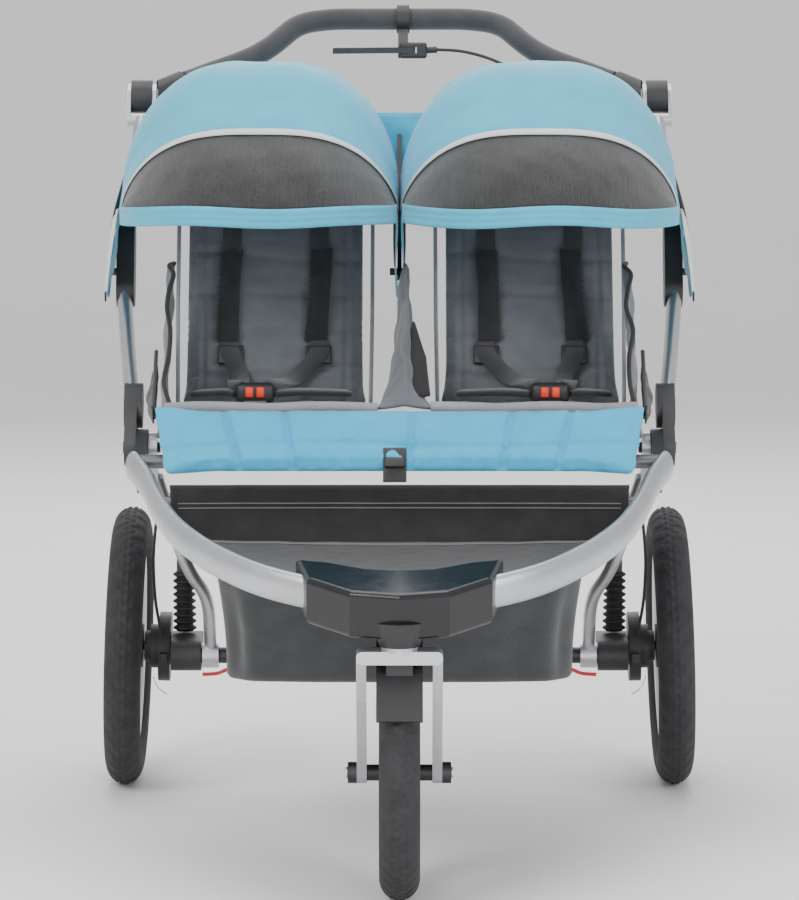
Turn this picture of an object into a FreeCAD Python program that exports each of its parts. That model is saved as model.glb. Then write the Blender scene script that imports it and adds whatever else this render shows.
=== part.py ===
import FreeCAD, Part

import math
import os

# Double side-by-side jogging stroller. Millimetres, +Z up, -Y to the front, +X to the
# right of someone who faces its front. The origin is on the floor under its middle.
# "left" and "right" in node names are the sides seen by someone who faces its front.

V = FreeCAD.Vector
AXIS_X = V(1, 0, 0)
AXIS_Y = V(0, 1, 0)
AXIS_Z = V(0, 0, 1)
SIDES = (("left", -1), ("right", 1))

# ---- driving dimensions -------------------------------------------------------------
REAR_RADIUS = 190.0            # 16 inch class wheel
FRONT_RADIUS = 155.0           # 12 inch class wheel
TYRE_HALF_WIDTH = 24.4
CAMBER = 1.8                   # degrees, rear wheels lean in at the top
REAR_AXLE_Y = 370.0
REAR_TRACK_HALF = 372.0        # wheel centre to the middle plane
FRONT_AXLE_Y = -405.0
STEER_Y = -490.0               # steering axis, ahead of the front axle by the trail
FOLD_Y = 60.0                  # main fold axis
FOLD_Z = 500.0
HOOD_Y = 245.0                 # axis that the hoods turn about
HOOD_Z = 715.0
ELBOW_Y = 420.0                # axis that the handlebar turns about
ELBOW_Z = 940.0
GRIP_Z = 1043.0
GRIP_Y = 545.0
BEAM_Y = 300.0                 # rear axle beam
BEAM_Z = 187.0
RUN = 0.05                     # radial clearance of a running fit
GAP = 0.5                      # gap between bodies that slide past each other
WALL = 2.0                     # tube wall

# hinge layers, distance of each plate's faces from the middle plane
REAR_PLATE = (316.0, 327.0)
FRONT_PLATE = (327.5, 343.0)
UPPER_PLATE = (343.5, 359.0)
HINGE_RADIUS = 24.0
SPIGOT_RADIUS = 7.0
TUBE_START = 62.0              # tubes begin this far from the fold axis

# seats
SEAT_SPANS = ((-296.0, -34.0), (46.0, 300.0))
CUSHION_TOP = 560.0
CUSHION_BOTTOM = 499.0
BACK_FOOT = (134.0, 536.0)     # y, z of the backrest's lower edge
BACK_HEAD = (316.0, 890.0)
BACK_THICK = 24.0

# hoods
HOOD_MIDDLE = 184.0            # centre of each hood from the middle plane
HOOD_HALF = 182.0
HOOD_CROWN = 286.0             # radius at the middle of a hood
HOOD_EDGE = 125.0              # radius at its two ends
HOOD_SKIN = 2.2
HOOD_NEST = 4.2                # each section lies this much inside the one behind


# ---- helpers ------------------------------------------------------------------------
def save(shape, node):
    shape.exportStep("parts/%s.step" % node)


def mirrored(shape):
    return shape.mirror(V(0, 0, 0), AXIS_X)


def group(shapes):
    return Part.makeCompound(shapes)


def rod(radius, start, end):
    axis = V(*end) - V(*start)
    return Part.makeCylinder(radius, axis.Length, V(*start), axis)


def block(x, y, z, rounding=0.0):
    solid = Part.makeBox(x[1] - x[0], y[1] - y[0], z[1] - z[0], V(x[0], y[0], z[0]))
    return solid.makeFillet(rounding, solid.Edges) if rounding else solid


def prism_x(outline, x):
    """Solid with a y, z outline between two x values."""
    wire = Part.makePolygon([V(x[0], y, z) for y, z in outline + outline[:1]])
    return Part.Face(wire).extrude(V(x[1] - x[0], 0, 0))


def prism_z(outline, z):
    wire = Part.makePolygon([V(x, y, z[0]) for x, y in outline + outline[:1]])
    return Part.Face(wire).extrude(V(0, 0, z[1] - z[0]))


def rounded(solid, radius, direction):
    """Fillets the straight edges that run along a direction."""
    edges = []
    for edge in solid.Edges:
        along = edge.Vertexes[-1].Point - edge.Vertexes[0].Point
        if along.Length > 1 and abs(along.normalize().dot(direction)) > 0.99:
            edges.append(edge)
    return solid.makeFillet(radius, edges)


def plate_link(a, ra, b, rb, x):
    """Plate across x whose outline wraps a circle at a and a circle at b, both y, z."""
    first = V(x[0], a[0], a[1])
    second = V(x[0], b[0], b[1])
    line = second - first
    turn = math.degrees(math.acos((ra - rb) / line.Length))
    unit = line.normalize()
    ends = []
    for side in (1, -1):
        normal = FreeCAD.Rotation(AXIS_X, side * turn).multVec(unit)
        ends.append((first + normal * ra, second + normal * rb))
    wire = Part.makePolygon([ends[0][0], ends[0][1], ends[1][1], ends[1][0], ends[0][0]])
    run = V(x[1] - x[0], 0, 0)
    body = Part.Face(wire).extrude(run)
    body = body.fuse(Part.makeCylinder(ra, run.Length, first, run))
    return body.fuse(Part.makeCylinder(rb, run.Length, second, run)).removeSplitter()


def bent_path(points, share=0.45):
    """Straight runs joined by tangent arcs."""
    corners = [V(*p) for p in points]
    edges = []
    start = corners[0]
    for before, corner, after in zip(corners, corners[1:], corners[2:]):
        u = before - corner
        w = after - corner
        reach = share * min(u.Length, w.Length)
        u.normalize()
        w.normalize()
        half = math.acos(max(-1.0, min(1.0, u.dot(w)))) / 2
        middle = (u + w).normalize()
        radius = reach * math.tan(half)
        centre = corner + middle * (reach / math.cos(half))
        first = corner + u * reach
        last = corner + w * reach
        edges.append(Part.LineSegment(start, first).toShape())
        edges.append(Part.Arc(first, centre - middle * radius, last).toShape())
        start = last
    edges.append(Part.LineSegment(start, corners[-1]).toShape())
    return Part.Wire(edges)


def sweep(path, section, binormal=None):
    shell = Part.BRepOffsetAPI.MakePipeShell(path)
    if binormal:
        shell.setBiNormalMode(binormal)
    shell.add(section)
    shell.build()
    shell.makeSolid()
    return shell.shape()


def path_start(path):
    edge = path.Edges[0]
    return edge.valueAt(edge.FirstParameter), edge.tangentAt(edge.FirstParameter)


def round_tube(points, radius, share=0.45):
    path = bent_path(points, share)
    start, tangent = path_start(path)
    section = Part.Wire(Part.Circle(start, tangent, radius).toShape())
    return sweep(path, section)


def oval_wire(start, tangent, long_axis, long_half, short_half):
    ellipse = Part.Wire(Part.Ellipse(V(0, 0, 0), long_half, short_half).toShape())
    turn = FreeCAD.Rotation(long_axis, tangent.cross(long_axis), tangent, "ZXY")
    ellipse.Placement = FreeCAD.Placement(start, turn)
    return ellipse


def oval_tube(points, binormal, along_binormal, across, share=0.45):
    """Hollow tube of oval section and the solid that it fills."""
    path = bent_path(points, share)
    start, tangent = path_start(path)
    side = binormal.cross(tangent).normalize()
    halves = (along_binormal, across)
    solids = []
    for wall in (0.0, WALL):
        if along_binormal > across:
            wire = oval_wire(start, tangent, binormal, halves[0] - wall, halves[1] - wall)
        else:
            wire = oval_wire(start, tangent, side, halves[1] - wall, halves[0] - wall)
        solids.append(sweep(path, wire, binormal))
    return solids[0].cut(solids[1]), solids[0]


# ---- wheels -------------------------------------------------------------------------
def tyre(radius):
    """Hollow tyre round the X axis, open towards the rim."""
    w = TYRE_HALF_WIDTH
    bead = radius - 47
    outer = [Part.Arc(V(-13, bead, 0), V(-w, radius - 28, 0), V(-17, radius - 9, 0)),
             Part.Arc(V(-17, radius - 9, 0), V(0, radius, 0), V(17, radius - 9, 0)),
             Part.Arc(V(17, radius - 9, 0), V(w, radius - 28, 0), V(13, bead, 0)),
             Part.LineSegment(V(13, bead, 0), V(9, bead, 0)),
             Part.Arc(V(9, bead, 0), V(w - 5, radius - 28, 0), V(11, radius - 13, 0)),
             Part.Arc(V(11, radius - 13, 0), V(0, radius - 7, 0), V(-11, radius - 13, 0)),
             Part.Arc(V(-11, radius - 13, 0), V(5 - w, radius - 28, 0), V(-9, bead, 0)),
             Part.LineSegment(V(-9, bead, 0), V(-13, bead, 0))]
    face = Part.Face(Part.Wire([e.toShape() for e in outer]))
    return face.revolve(V(0, 0, 0), AXIS_X, 360)


def rim(radius):
    """Channel that the tyre's beads sit on."""
    top = radius - 47
    outline = [(-15, top), (-8, top), (-6, top - 5), (6, top - 5), (8, top), (15, top),
               (14, top - 9), (7, top - 14), (-7, top - 14), (-14, top - 9)]
    wire = Part.makePolygon([V(x, y, 0) for x, y in outline + outline[:1]])
    return Part.Face(wire).revolve(V(0, 0, 0), AXIS_X, 360)


def spoke(rim_inner, hub_radius):
    """Wedge spoke, wide at the hub and narrow at the rim."""
    outline = [(hub_radius - 4, -15), (rim_inner + 3, -8), (rim_inner + 3, 8), (hub_radius - 4, 15)]
    wire = Part.makePolygon([V(-6, b, a) for a, b in outline + outline[:1]])
    return Part.Face(wire).extrude(V(12, 0, 0))


def spoked_wheel(radius, hub_radius, hub_half, bore, spokes):
    rim_inner = radius - 61
    wheel = rim(radius)
    solids = [Part.makeCylinder(hub_radius, 2 * hub_half, V(-hub_half, 0, 0), AXIS_X)]
    for i in range(spokes):
        arm = spoke(rim_inner, hub_radius)
        arm.rotate(V(0, 0, 0), AXIS_X, i * 360.0 / spokes)
        solids.append(arm)
    wheel = wheel.multiFuse(solids)
    hole = Part.makeCylinder(bore, 4 * hub_half, V(-2 * hub_half, 0, 0), AXIS_X)
    return wheel.cut(hole).removeSplitter()


REAR_AXLE_Z = (REAR_RADIUS - TYRE_HALF_WIDTH) * math.cos(math.radians(CAMBER)) + TYRE_HALF_WIDTH
AXLE_RADIUS = 6.0
HUB_HALF = 20.0


def rear_placed(shape, side):
    """Moves a piece made round the X axis at the origin to a rear wheel's place."""
    placed = shape.copy()
    placed.rotate(V(0, 0, 0), AXIS_Y, side * -CAMBER)
    placed.translate(V(side * REAR_TRACK_HALF, REAR_AXLE_Y, REAR_AXLE_Z))
    return placed


def rear_wheel(name, side):
    save(rear_placed(tyre(REAR_RADIUS), side), "rear_tyre_" + name)
    wheel = spoked_wheel(REAR_RADIUS, 30, HUB_HALF, AXLE_RADIUS + RUN, 5)
    save(rear_placed(wheel, side), "rear_wheel_" + name)


def axle_block(side):
    """Black arm that carries the drum and the axle, and turns on the axle beam."""
    arm = plate_link((BEAM_Y, BEAM_Z), 21, (REAR_AXLE_Y - 4, BEAM_Z), 23, (270, 311))
    arm = arm.cut(rod(11 + RUN, (200, BEAM_Y, BEAM_Z), (400, BEAM_Y, BEAM_Z)))
    arm = arm if side > 0 else mirrored(arm)
    inner = -side * (REAR_TRACK_HALF - 290)
    axle = Part.makeCylinder(AXLE_RADIUS, 82 + HUB_HALF + 4, V(0, 0, 0), V(side, 0, 0))
    axle.translate(V(inner, 0, 0))
    neck = Part.makeCylinder(14, 20, V(-side * 58, 0, 0), V(-side, 0, 0))
    nut = Part.makeCylinder(9, 5, V(side * (HUB_HALF + 1), 0, 0), V(side, 0, 0))
    return arm.multiFuse([rear_placed(p, side) for p in (axle, neck, nut)])


def brake_drum(side):
    """Drum with its cable stop, fixed to the axle block."""
    plate = Part.makeCylinder(47.5, 16, V(-side * 57.9, 0, 0), V(side, 0, 0))
    hub = Part.makeCylinder(30, 12, V(-side * 41.9, 0, 0), V(side, 0, 0))
    hub = hub.fuse(Part.makeCylinder(21, 8, V(-side * 29.9, 0, 0), V(side, 0, 0)))
    stop = Part.makeBox(10, 16, 12, V(-side * 50 - 5, -58, -14))
    hole = Part.makeCylinder(AXLE_RADIUS, 60, V(-side * 70, 0, 0), V(side, 0, 0))
    return rear_placed(plate.fuse(hub).fuse(stop).cut(hole), side)


# ---- front wheel and fork -----------------------------------------------------------
HEAD_TOP = 352.0
CROWN_TOP = 322.0


def front_wheel():
    place = V(0, FRONT_AXLE_Y, FRONT_RADIUS)
    ring = tyre(FRONT_RADIUS)
    ring.translate(place)
    save(ring, "front_tyre")
    wheel = spoked_wheel(FRONT_RADIUS, 22, 24, AXLE_RADIUS + RUN, 5)
    wheel.translate(place)
    save(wheel, "front_wheel")


def fork():
    """Flat bar bent into an upside-down U, with the steering stem on its crown."""
    half = 46.0
    knee = (FRONT_AXLE_Y, FRONT_RADIUS)
    shoulder = (STEER_Y + 22, 262)
    crown_z = CROWN_TOP - 14
    points = [(-half, knee[0], knee[1]), (-half, shoulder[0], shoulder[1]),
              (-half + 10, STEER_Y, crown_z), (half - 10, STEER_Y, crown_z),
              (half, shoulder[0], shoulder[1]), (half, knee[0], knee[1])]
    legs = []
    for side in (-1, 1):
        leg = plate_link(knee, 13, shoulder, 14, (-6, 6))
        leg.translate(V(side * half, 0, 0))
        arm = prism_x([(shoulder[0] - 13, shoulder[1] - 6), (shoulder[0] + 14, shoulder[1]),
                       (STEER_Y + 18, crown_z), (STEER_Y - 14, crown_z)], (-6, 6))
        arm.translate(V(side * half, 0, 0))
        legs += [leg, arm]
    crown = block((-half - 6, half + 6), (STEER_Y - 18, STEER_Y + 20), (crown_z - 4, CROWN_TOP - 2))
    crown = rounded(crown, 7, AXIS_Y)
    stem = rod(11, (0, STEER_Y, CROWN_TOP - 6), (0, STEER_Y, HEAD_TOP + 20))
    race = rod(22, (0, STEER_Y, CROWN_TOP - 4), (0, STEER_Y, CROWN_TOP + 2))
    whole = legs[0].multiFuse(legs[1:] + [crown, stem, race])
    hole = rod(AXLE_RADIUS, (-90, FRONT_AXLE_Y, FRONT_RADIUS), (90, FRONT_AXLE_Y, FRONT_RADIUS))
    return whole.cut(hole).removeSplitter()


def front_axle():
    """Through axle with an end nut and a fender peg on each side."""
    whole = rod(AXLE_RADIUS, (-62, FRONT_AXLE_Y, FRONT_RADIUS), (62, FRONT_AXLE_Y, FRONT_RADIUS))
    for side in (-1, 1):
        nut = rod(13, (side * 52, FRONT_AXLE_Y, FRONT_RADIUS), (side * 63, FRONT_AXLE_Y, FRONT_RADIUS))
        spacer = rod(10, (side * 25, FRONT_AXLE_Y, FRONT_RADIUS), (side * 40, FRONT_AXLE_Y, FRONT_RADIUS))
        whole = whole.multiFuse([nut, spacer])
    return whole


def front_fender():
    """Curved guard that hugs the front of the tyre under the crown."""
    inner = FRONT_RADIUS + 6
    outer = FRONT_RADIUS + 10
    wire = Part.makePolygon([V(-28, inner, 0), V(-28, outer, 0), V(28, outer, 0), V(28, inner, 0), V(-28, inner, 0)])
    guard = Part.Face(wire).revolve(V(0, 0, 0), AXIS_X, 62)
    guard.rotate(V(0, 0, 0), AXIS_X, 86)
    guard.translate(V(0, FRONT_AXLE_Y, FRONT_RADIUS))
    post = block((-16, 16), (STEER_Y - 10, STEER_Y + 12), (CROWN_TOP - 44, CROWN_TOP - 18))
    hollow = rod(outer - 1, (-60, FRONT_AXLE_Y, FRONT_RADIUS), (60, FRONT_AXLE_Y, FRONT_RADIUS))
    return guard.fuse(post.cut(hollow))


# ---- front frame --------------------------------------------------------------------
HOOP_SLOPE = 0.23
HOOP_LONG = 21.0
HOOP_SHORT = 11.0
HOOP_HALF_PLAN = [(346, 0), (324, -60), (303, -160), (276, -245), (232, -325), (170, -400), (90, -450)]


def hoop_z(y):
    return FOLD_Z - 4 + HOOP_SLOPE * (y - FOLD_Y)


def front_hoop():
    """Oval tube that runs from hinge to hinge round the front, all in one sloping plane."""
    half = [(344, FOLD_Y - TUBE_START + 2)] + HOOP_HALF_PLAN[1:]
    plan = [(-x, y) for x, y in half] + [(x, y) for x, y in reversed(half)]
    points = [(x, y, hoop_z(y)) for x, y in plan]
    normal = V(0, -HOOP_SLOPE, 1).normalize()
    return oval_tube(points, normal, HOOP_LONG, HOOP_SHORT)


def nose_casting(hoop_solid):
    """Glossy cast sleeve round the middle of the hoop, bulging over the steering head."""
    low = hoop_z(-455)
    arc = [(-126, -392), (-112, -462), (-60, -508), (0, -520), (60, -508), (112, -462), (126, -392),
           (86, -402), (40, -424), (0, -430), (-40, -424), (-86, -402)]
    sleeve = prism_z(arc, (low - 32, low + 28))
    sleeve = sleeve.makeFillet(8, [e for e in sleeve.Edges if e.BoundBox.ZLength < 1])
    normal = FreeCAD.Rotation(AXIS_X, math.degrees(math.atan(HOOP_SLOPE)))
    sleeve.Placement = FreeCAD.Placement(V(0, 0, 0), normal, V(0, -455, low)).multiply(sleeve.Placement)
    return sleeve.cut(hoop_solid)


def steering_head(nose):
    """Tapered socket under the nose that the fork's stem turns in."""
    cone = Part.makeCone(24, 34, 30, V(0, STEER_Y, CROWN_TOP + 2 + GAP))
    bore = rod(11 + RUN, (0, STEER_Y, CROWN_TOP - 5), (0, STEER_Y, HEAD_TOP + 25))
    return cone.cut(nose).cut(bore)


def stem_hole():
    return rod(11 + RUN, (0, STEER_Y, CROWN_TOP), (0, STEER_Y, HEAD_TOP + 24))


def hinge_lugs():
    """Front frame's side of the fold hinge, with the spigot that the others turn on."""
    fore = (FOLD_Y - TUBE_START + 6, hoop_z(FOLD_Y - TUBE_START + 6))
    drop = (FOLD_Y + 8, FOLD_Z - 46)
    plate = plate_link((FOLD_Y, FOLD_Z), HINGE_RADIUS, fore, 19, FRONT_PLATE)
    tail = plate_link((FOLD_Y, FOLD_Z), HINGE_RADIUS, drop, 15, (FRONT_PLATE[0] + 5, FRONT_PLATE[1]))
    spigot = rod(SPIGOT_RADIUS, (REAR_PLATE[0] - 4, FOLD_Y, FOLD_Z), (UPPER_PLATE[1] + 1, FOLD_Y, FOLD_Z))
    return plate.fuse(tail).fuse(spigot)


def cross_tubes(hoop_solid, lugs):
    """Tubes across the front frame: under the seats and behind the leg pad."""
    seat = rod(9, (-340, -12, CUSHION_BOTTOM - 9), (340, -12, CUSHION_BOTTOM - 9))
    calf = rod(8, (-310, -134, 452), (310, -134, 452))
    return [max(t.cut(hoop_solid).cut(lugs).Solids, key=lambda s: s.Volume) for t in (seat, calf)]


def foot_platform(hoop_solid, nose):
    """Board for the feet, inside the hoop."""
    outline = [(-290, -160), (-262, -245), (-222, -325), (-160, -395), (-86, -440),
               (86, -440), (160, -395), (222, -325), (262, -245), (290, -160)]
    board = prism_z(outline, (392, 397)).cut(hoop_solid).cut(nose)
    return max(board.Solids, key=lambda s: s.Volume)


def calf_panel():
    """Panel that drops from the leg pad to the foot platform."""
    outline = [(-150, 398), (-143, 398), (-143, 468), (-150, 468)]
    return prism_x(outline, (-284, 284))


def leg_pad():
    """Padded flap over the front edge of the seats."""
    corners = [V(-327, -62, 566), V(327, -62, 566), V(305, -132, 478), V(-305, -132, 478)]
    slab = Part.Face(Part.makePolygon(corners + corners[:1]))
    normal = (corners[1] - corners[0]).cross(corners[2] - corners[1]).normalize()
    if normal.y > 0:
        normal = normal * -1
    pad = slab.extrude(normal * 17)
    return pad.makeFillet(7, pad.Edges)


def basket():
    """Fabric tub under the seats, open on top."""
    outline = [(-212, 384), (-92, 212), (282, 207), (284, 366)]
    outer = rounded(prism_x(outline, (-238, 238)), 22, AXIS_X)
    inside = [(-210, 400), (-205, 381), (-90, 215), (279, 210), (281, 400)]
    inner = prism_x(inside, (-235, 235))
    return outer.cut(inner)


# ---- seats --------------------------------------------------------------------------
def seat_cushion(span):
    outline = [(-54, CUSHION_BOTTOM), (-54, CUSHION_TOP), (90, CUSHION_TOP), (124, CUSHION_BOTTOM)]
    pad = prism_x(outline, span)
    return pad.makeFillet(9, pad.Edges)


def on_back(along, off):
    """y, z of a point on the backrest: along it from its foot, and off its front face."""
    run = V(0, BACK_HEAD[0] - BACK_FOOT[0], BACK_HEAD[1] - BACK_FOOT[1]).normalize()
    face = V(0, -run.z, run.y)
    spot = V(0, *BACK_FOOT) + run * along + face * (BACK_THICK / 2 + off)
    return spot.y, spot.z


def back_length():
    return math.hypot(BACK_HEAD[0] - BACK_FOOT[0], BACK_HEAD[1] - BACK_FOOT[1])


def back_slab(x, along, off, rounding):
    """Slab that lies on or in the backrest."""
    outline = [on_back(along[0], off[0]), on_back(along[1], off[0]),
               on_back(along[1], off[1]), on_back(along[0], off[1])]
    slab = prism_x(outline, x)
    return slab.makeFillet(rounding, slab.Edges)


def seat_back(span):
    return back_slab(span, (0, back_length()), (-BACK_THICK, 0), 8)


STRAP_OFFSET = 58.0


def shoulder_straps():
    """Two padded shoulder straps on each backrest."""
    pads = []
    for span in SEAT_SPANS:
        middle = sum(span) / 2
        for side in (-1, 1):
            x = middle + side * STRAP_OFFSET
            pads.append(back_slab((x - 19, x + 19), (88, 232), (0.5, 15), 5))
    return group(pads)


def buckle_place(span):
    return sum(span) / 2 + 22 * (-1 if span[0] < 0 else 1), 18, CUSHION_TOP


def buckles():
    """Harness buckle of each seat, standing on its crotch strap."""
    solids = []
    for span in SEAT_SPANS:
        x, y, z = buckle_place(span)
        case = block((x - 27, x + 27), (y - 13, y + 11), (z + 1, z + 30), 5)
        well = block((x - 13, x + 13), (y - 20, y - 7), (z + 8, z + 24))
        solids.append(case.cut(well))
    return group(solids)


def buckle_button(span):
    """Release button that slides into the buckle."""
    x, y, z = buckle_place(span)
    return block((x - 12.6, x + 12.6), (y - 16, y - 10), (z + 8.4, z + 23.6), 1.5)


def waist_straps():
    """Padded waist straps that lie on the cushions."""
    solids = []
    for span in SEAT_SPANS:
        x, y, z = buckle_place(span)
        for side, end in ((-1, span[0] + 20), (1, span[1] - 20)):
            near = x + side * 29
            pad = block((min(near, end), max(near, end)), (y - 8, y + 30), (z + 0.5, z + 7), 3)
            solids.append(pad)
    return group(solids)


def seat_divider():
    """Fabric wall between the two seats."""
    outline = [(-40, 562), (20, 640), (92, 722), (146, 732), (124, 562)]
    wall = prism_x(outline, (-10, 22))
    return wall.makeFillet(7, wall.Edges)


def side_panels():
    """Fabric walls at the outer sides of the seats."""
    outline = [(-48, 522), (-40, 566), (30, 650), (96, 716), (150, 728), (128, 522)]
    wall = prism_x(outline, (304, 312))
    return group([mirrored(wall), wall])


def side_pockets():
    """Mesh pockets on the outside of the side walls."""
    outline = [(-20, 540), (100, 540), (100, 622), (4, 560)]
    pocket = prism_x(outline, (314, 326))
    return group([mirrored(pocket), pocket])


# ---- upper frame --------------------------------------------------------------------
def side_tube():
    points = [(350, 98, 543), (362, 190, 632), (368, 238, 690), (366, 268, 744), (352, ELBOW_Y - 26, ELBOW_Z - 33)]
    return oval_tube(points, AXIS_X, 10.0, 18.0)


CHEEK_PIN = 6.0


def tube_cheeks():
    """Welded fork on a side tube's top, with the pin that the handlebar turns on."""
    foot = (ELBOW_Y - 23, ELBOW_Z - 29)
    solids = [plate_link((ELBOW_Y, ELBOW_Z), 18, foot, 10, x) for x in ((332, 337.4), (366.6, 371))]
    solids.append(rod(10, (332, foot[0], foot[1]), (371, foot[0], foot[1])))
    solids.append(rod(CHEEK_PIN, (332, ELBOW_Y, ELBOW_Z), (371, ELBOW_Y, ELBOW_Z)))
    return solids


def hinge_cover():
    """Upper frame's side of the fold hinge, a moulded cover that grips the tube."""
    plate = plate_link((FOLD_Y, FOLD_Z), HINGE_RADIUS, (100, 545), 22, UPPER_PLATE)
    cuff = plate_link((98, 543), 22, (112, 558), 21, (337, 361))
    bore = rod(SPIGOT_RADIUS + RUN, (300, FOLD_Y, FOLD_Z), (400, FOLD_Y, FOLD_Z))
    return plate.fuse(cuff).cut(bore)


def hood_bracket(tube_solid):
    """Black bracket on the side tube that the hood turns on."""
    shell = plate_link((HOOD_Y - 4, HOOD_Z - 22), 25, (HOOD_Y + 20, HOOD_Z + 40), 24, (354, 378))
    pin = rod(5, (370, HOOD_Y, HOOD_Z), (391, HOOD_Y, HOOD_Z))
    return shell.fuse(pin).cut(tube_solid)


def middle_bracket():
    """Bracket between the hoods that holds their inner ends."""
    plate = plate_link((HOOD_Y, HOOD_Z), 12, (395, 905), 12, (-3, 3))
    return plate.fuse(rod(5, (-13, HOOD_Y, HOOD_Z), (13, HOOD_Y, HOOD_Z)))


def back_cross_bar(left_tube, right_tube):
    """Bar between the side tubes behind the hoods."""
    bar = rod(12, (-340, 395, 905), (340, 395, 905)).cut(left_tube).cut(right_tube)
    return max(bar.Solids, key=lambda s: s.Volume)


# ---- hoods --------------------------------------------------------------------------
def hood_radius(share):
    """Radius of a hood at a share, -1 to 1, of its half width."""
    return HOOD_EDGE + (HOOD_CROWN - HOOD_EDGE) * (1 - abs(share) ** 3) ** 0.65


def hood_line(side, shrink):
    shares = (-1, -0.97, -0.88, -0.72, -0.45, 0, 0.45, 0.72, 0.88, 0.97, 1)
    points = []
    for share in shares:
        x = side * HOOD_MIDDLE + share * (HOOD_HALF - shrink * 0.6)
        points.append(V(x, HOOD_Y - hood_radius(share) + shrink, HOOD_Z))
    return points


def hood_section(side, level, start, end):
    """Curved skin of a hood between two angles up from straight ahead."""
    edges = []
    rails = []
    for skin in (0.0, HOOD_SKIN):
        points = hood_line(side, level * HOOD_NEST + skin)
        curve = Part.BSplineCurve()
        curve.interpolate(points)
        edges.append(curve.toShape())
        rails.append(points)
    for i in (0, -1):
        edges.append(Part.LineSegment(rails[0][i], rails[1][i]).toShape())
    face = Part.Face(Part.Wire(Part.__sortEdges__(edges)))
    face.rotate(V(0, HOOD_Y, HOOD_Z), AXIS_X, -start)
    return face.revolve(V(0, HOOD_Y, HOOD_Z), AXIS_X, start - end)


def hood_arms(side, level, angle):
    """Flat arms that carry a hood section on its two pivots."""
    reach = HOOD_EDGE - level * HOOD_NEST - HOOD_SKIN / 2
    tip = (HOOD_Y - reach * math.cos(math.radians(angle)), HOOD_Z + reach * math.sin(math.radians(angle)))
    outer = 385.5 - 3 * level
    inner = 0.5 + 3 * level
    edge = HOOD_HALF - level * HOOD_NEST * 0.6
    solids = []
    for x, shell_x in ((outer, HOOD_MIDDLE + edge), (inner, HOOD_MIDDLE - edge)):
        arm = plate_link((HOOD_Y, HOOD_Z), 11, tip, 1.6, (side * x, side * (x + 2)))
        arm = arm.cut(rod(5 + RUN, (-400, HOOD_Y, HOOD_Z), (400, HOOD_Y, HOOD_Z)))
        near, far = (shell_x - 2.5, x + 1) if x > shell_x else (x + 1, shell_x + 2.5)
        foot = rod(1.6, (side * near, tip[0], tip[1]), (side * far, tip[0], tip[1]))
        solids += [arm, foot]
    return solids


VISOR_TOP = 42.0
CREASE = 68.0
HEM = 17.0


def hood_mid(side):
    shell = hood_section(side, 1, VISOR_TOP, CREASE)
    return shell.multiFuse(hood_arms(side, 1, 52))


def hood_visor(side):
    shell = hood_section(side, 2, HEM, VISOR_TOP + 2)
    return shell.multiFuse(hood_arms(side, 2, 26))


# ---- handlebar ----------------------------------------------------------------------
def handlebar_path():
    half = [(322, 431, 949), (296, 444, 959), (190, 490, 996), (140, 535, GRIP_Z - 6), (96, GRIP_Y, GRIP_Z)]
    return [(-x, y, z) for x, y, z in half] + [(x, y, z) for x, y, z in reversed(half)]


def handlebar_grip(tube_solid):
    """Foam sleeve over the whole bent bar."""
    path = handlebar_path()
    inset = [(-292, 445.9, 960.4)] + path[2:-2] + [(292, 445.9, 960.4)]
    return round_tube(inset, 15).cut(tube_solid)


def handlebar_elbows():
    """Black elbow on each end of the bar that turns between the side tube's cheeks."""
    disc = rod(24, (338, ELBOW_Y, ELBOW_Z), (366, ELBOW_Y, ELBOW_Z))
    arm = rod(17, (340, ELBOW_Y + 2, ELBOW_Z + 2), (297, 444, 959))
    slot = rod(27, (330, ELBOW_Y, ELBOW_Z), (338, ELBOW_Y, ELBOW_Z))
    bore = rod(CHEEK_PIN + RUN, (320, ELBOW_Y, ELBOW_Z), (380, ELBOW_Y, ELBOW_Z))
    return disc.fuse(arm.cut(slot)).cut(bore)


def lever_clamp():
    """Clamp round the grip with the lever's body and cable adjuster."""
    ring = rod(20, (-4, GRIP_Y, GRIP_Z), (14, GRIP_Y, GRIP_Z))
    ring = ring.cut(rod(15, (-10, GRIP_Y, GRIP_Z), (20, GRIP_Y, GRIP_Z)))
    neck = prism_x([(526, 1030), (538, 1020), (514, 990), (498, 1004)], (-2, 12))
    body = block((0, 38), (496, 516), (990, 1012), 4)
    slot = block((-5, 24), (490, 520), (997, 1006))
    adjuster = rod(4.5, (37, 506, 1001), (52, 506, 1002))
    return ring.fuse(neck).fuse(body).cut(slot).fuse(adjuster)


def brake_lever():
    """Curved blade that is squeezed towards the grip."""
    outline = [(22, 498), (-8, 494), (-45, 482), (-75, 474), (-92, 470),
               (-90, 482), (-70, 486), (-40, 494), (-8, 505), (22, 512)]
    return prism_z(outline, (997.5, 1005.5))


def brake_cable():
    """Cable from the adjuster to the right-hand end of the bar."""
    points = [(52.2, 506, 1002), (84, 500, 1001), (118, 492, 993), (150, 478, 980), (190, 466, 968), (232, 458, 958)]
    return round_tube(points, 2.2)


# ---- rear frame ---------------------------------------------------------------------
def strut(side_sign):
    """Bent tube from the fold hinge to the axle beam."""
    tube = round_tube([(318, 84, 458), (283, 150, 328), (257, 230, 276), (257, 296, 200)], 8.5, 0.4)
    plate = plate_link((FOLD_Y, FOLD_Z), 20, (86, 452), 11, REAR_PLATE)
    foot = rod(17, (246, BEAM_Y, BEAM_Z), (268, BEAM_Y, BEAM_Z))
    bore = rod(SPIGOT_RADIUS + RUN, (300, FOLD_Y, FOLD_Z), (400, FOLD_Y, FOLD_Z))
    beam = rod(11, (200, BEAM_Y, BEAM_Z), (300, BEAM_Y, BEAM_Z))
    whole = tube.fuse(plate).fuse(foot).cut(bore).cut(beam)
    return whole if side_sign > 0 else mirrored(whole)


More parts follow.
